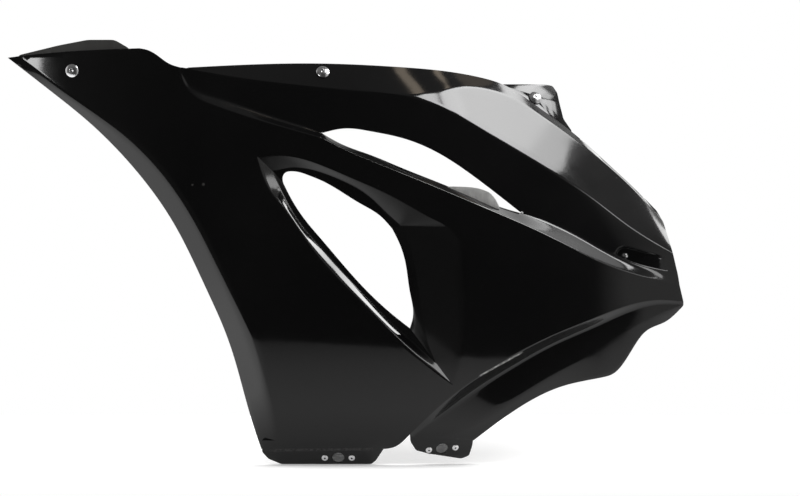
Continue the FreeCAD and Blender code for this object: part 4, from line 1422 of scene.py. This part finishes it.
class FAIRING_OT_stage(bpy.types.Operator):
    """Set up the white floor, the studio light and the camera"""

    bl_idname = "fairing.stage"
    bl_label = "Stage"

    def execute(self, context):
        self.floor(context)
        self.camera(context.scene)
        self.lamps(context.scene.fairing_stage)
        self.world(context.scene)
        context.scene.view_settings.view_transform = "Standard"
        return {"FINISHED"}

    def floor(self, context):
        """A sheet that falls to the front, lies just under the panel and rises a little behind it."""
        s = context.scene.fairing_stage
        low = CAD_BOX[0].z - 0.0005
        across, along = len(FLOOR_FRONT) - 1, len(FLOOR_SWEEP)
        bpy.ops.object.select_all(action="DESELECT")
        bpy.ops.mesh.primitive_grid_add(x_subdivisions=across, y_subdivisions=along, size=1.0,
                                        location=(0, 0, 0))
        floor = context.object
        floor.name = "floor"
        corners = [(x, y, -s.floor_fall) for x, y in FLOOR_FRONT]
        for y, rise in FLOOR_SWEEP:
            corners += [(x, y, s.floor_rise * rise) for x, front in FLOOR_FRONT]
        for vertex, (x, y, z) in zip(floor.data.vertices, corners):
            vertex.co = (x, y, low + z)
        bpy.ops.object.shade_smooth()
        floor.data.materials.append(floor_material())

    def camera(self, scene):
        """A long lens, square on to the panel's side."""
        s = scene.fairing_stage
        camera = bpy.data.cameras.new("camera")
        camera.lens = s.lens
        camera.sensor_width = SENSOR
        camera.clip_end = 200
        view = bpy.data.objects.new("camera", camera)
        view.location = Vector(s.aim) + Vector((0, -s.width * s.lens / SENSOR, 0))
        view.rotation_euler = (math.radians(90), 0, 0)
        scene.collection.objects.link(view)
        scene.camera = view

    def lamps(self, s):
        """The softboxes and cards that the gloss mirrors, and three warm lamps of the room."""
        for i, (x, width, length, share) in enumerate(SOFTBOXES):
            spot = (x, SOFTBOX_BACK - length / 2)
            self.overhead("softbox_%d" % (i + 1), s.softbox * share, (width, length), spot)
        for name, power, share, size, position, target in AIMED_LAMPS:
            self.lamp(name, getattr(s, power) * share, size, Vector(position), Vector(target or s.aim))
        for name, power, share, size, spot in OVERHEAD_LAMPS:
            self.overhead(name, getattr(s, power) * share, size, spot)
        for i, (power, size, spot) in enumerate(ROOM_LAMPS):
            self.overhead("room_lamp_%d" % (i + 1), power, size, spot, WARM_LIGHT)

    def overhead(self, name, power, size, spot, colour=WHITE_LIGHT):
        self.lamp(name, power, size, Vector((*spot, LAMP_HEIGHT)), Vector((*spot, 0)), colour)

    def lamp(self, name, power, size, position, target, colour=WHITE_LIGHT):
        light = bpy.data.lights.new(name, "AREA")
        light.shape = "RECTANGLE"
        light.size, light.size_y = size
        light.energy = power
        light.color = colour
        lamp = bpy.data.objects.new(name, light)
        lamp.location = position
        lamp.rotation_euler = (target - position).to_track_quat("-Z", "Y").to_euler()
        bpy.context.scene.collection.objects.link(lamp)

    def world(self, scene):
        """White to the camera, white behind the panel in reflections too, and a dim room ahead of it."""
        scene.world = bpy.data.worlds.new("studio")
        n = Nodes(scene.world)
        split = n.split("Generated")
        lean = n.math("MULTIPLY_ADD", (split, "X"), -0.25, (split, "Y"))
        behind = n.remap(lean, 0.0, 0.3, 0.0, 1.0)
        right = n.remap((split, "X"), 0.61, 0.73, 0.05, 0.5)
        left = n.remap((split, "X"), -0.3, -0.1, 0.095, 0.05)
        ceiling = n.remap((split, "Z"), 0.45, 0.8, 0.0, 1.0)
        wall = n.blend(behind, n.math("MAXIMUM", right, left), 1.2)
        level = n.blend(ceiling, wall, 0.16)
        room = n.made("ShaderNodeBackground", {"Color": (1.0, 0.99, 0.975, 1), "Strength": level})
        white = n.made("ShaderNodeBackground", {"Color": (1, 1, 1, 1)})
        paths = n.add("ShaderNodeLightPath")
        seen = n.math("ADD", (paths, "Is Camera Ray"), (paths, "Is Transmission Ray"))
        mix = n.made("ShaderNodeMixShader", {0: seen, 1: room, 2: white})
        n.made("ShaderNodeOutputWorld", {0: mix})


class FAIRING_PT_parts(bpy.types.Panel):
    """Lists the steps that build the panel"""

    bl_idname = "FAIRING_PT_parts"
    bl_label = "Fairing side panel"
    bl_space_type = "VIEW_3D"
    bl_region_type = "UI"
    bl_category = "Fairing"

    def draw(self, context):
        for step in STEPS:
            self.layout.operator(step.bl_idname)


STEPS = (FAIRING_OT_moulding, FAIRING_OT_studs, FAIRING_OT_rivets, FAIRING_OT_pocket_screw,
         FAIRING_OT_finishes, FAIRING_OT_stage)
GROUPS = {"fairing_panel": FairingPanelSizes, "fairing_fasteners": FairingFastenerSizes,
          "fairing_finish": FairingFinish, "fairing_stage": FairingStage}


def register():
    for name, group in GROUPS.items():
        bpy.utils.register_class(group)
        setattr(bpy.types.Scene, name, bpy.props.PointerProperty(type=group))
    for step in STEPS:
        bpy.utils.register_class(step)
    bpy.utils.register_class(FAIRING_PT_parts)


def unregister():
    bpy.utils.unregister_class(FAIRING_PT_parts)
    for step in reversed(STEPS):
        bpy.utils.unregister_class(step)
    for name, group in reversed(GROUPS.items()):
        delattr(bpy.types.Scene, name)
        bpy.utils.unregister_class(group)


def main():
    register()
    bpy.ops.fairing.moulding()
    bpy.ops.fairing.studs()
    bpy.ops.fairing.rivets()
    bpy.ops.fairing.pocket_screw()
    bpy.ops.fairing.finishes()
    bpy.ops.fairing.stage()


if __name__ == "__main__":
    main()
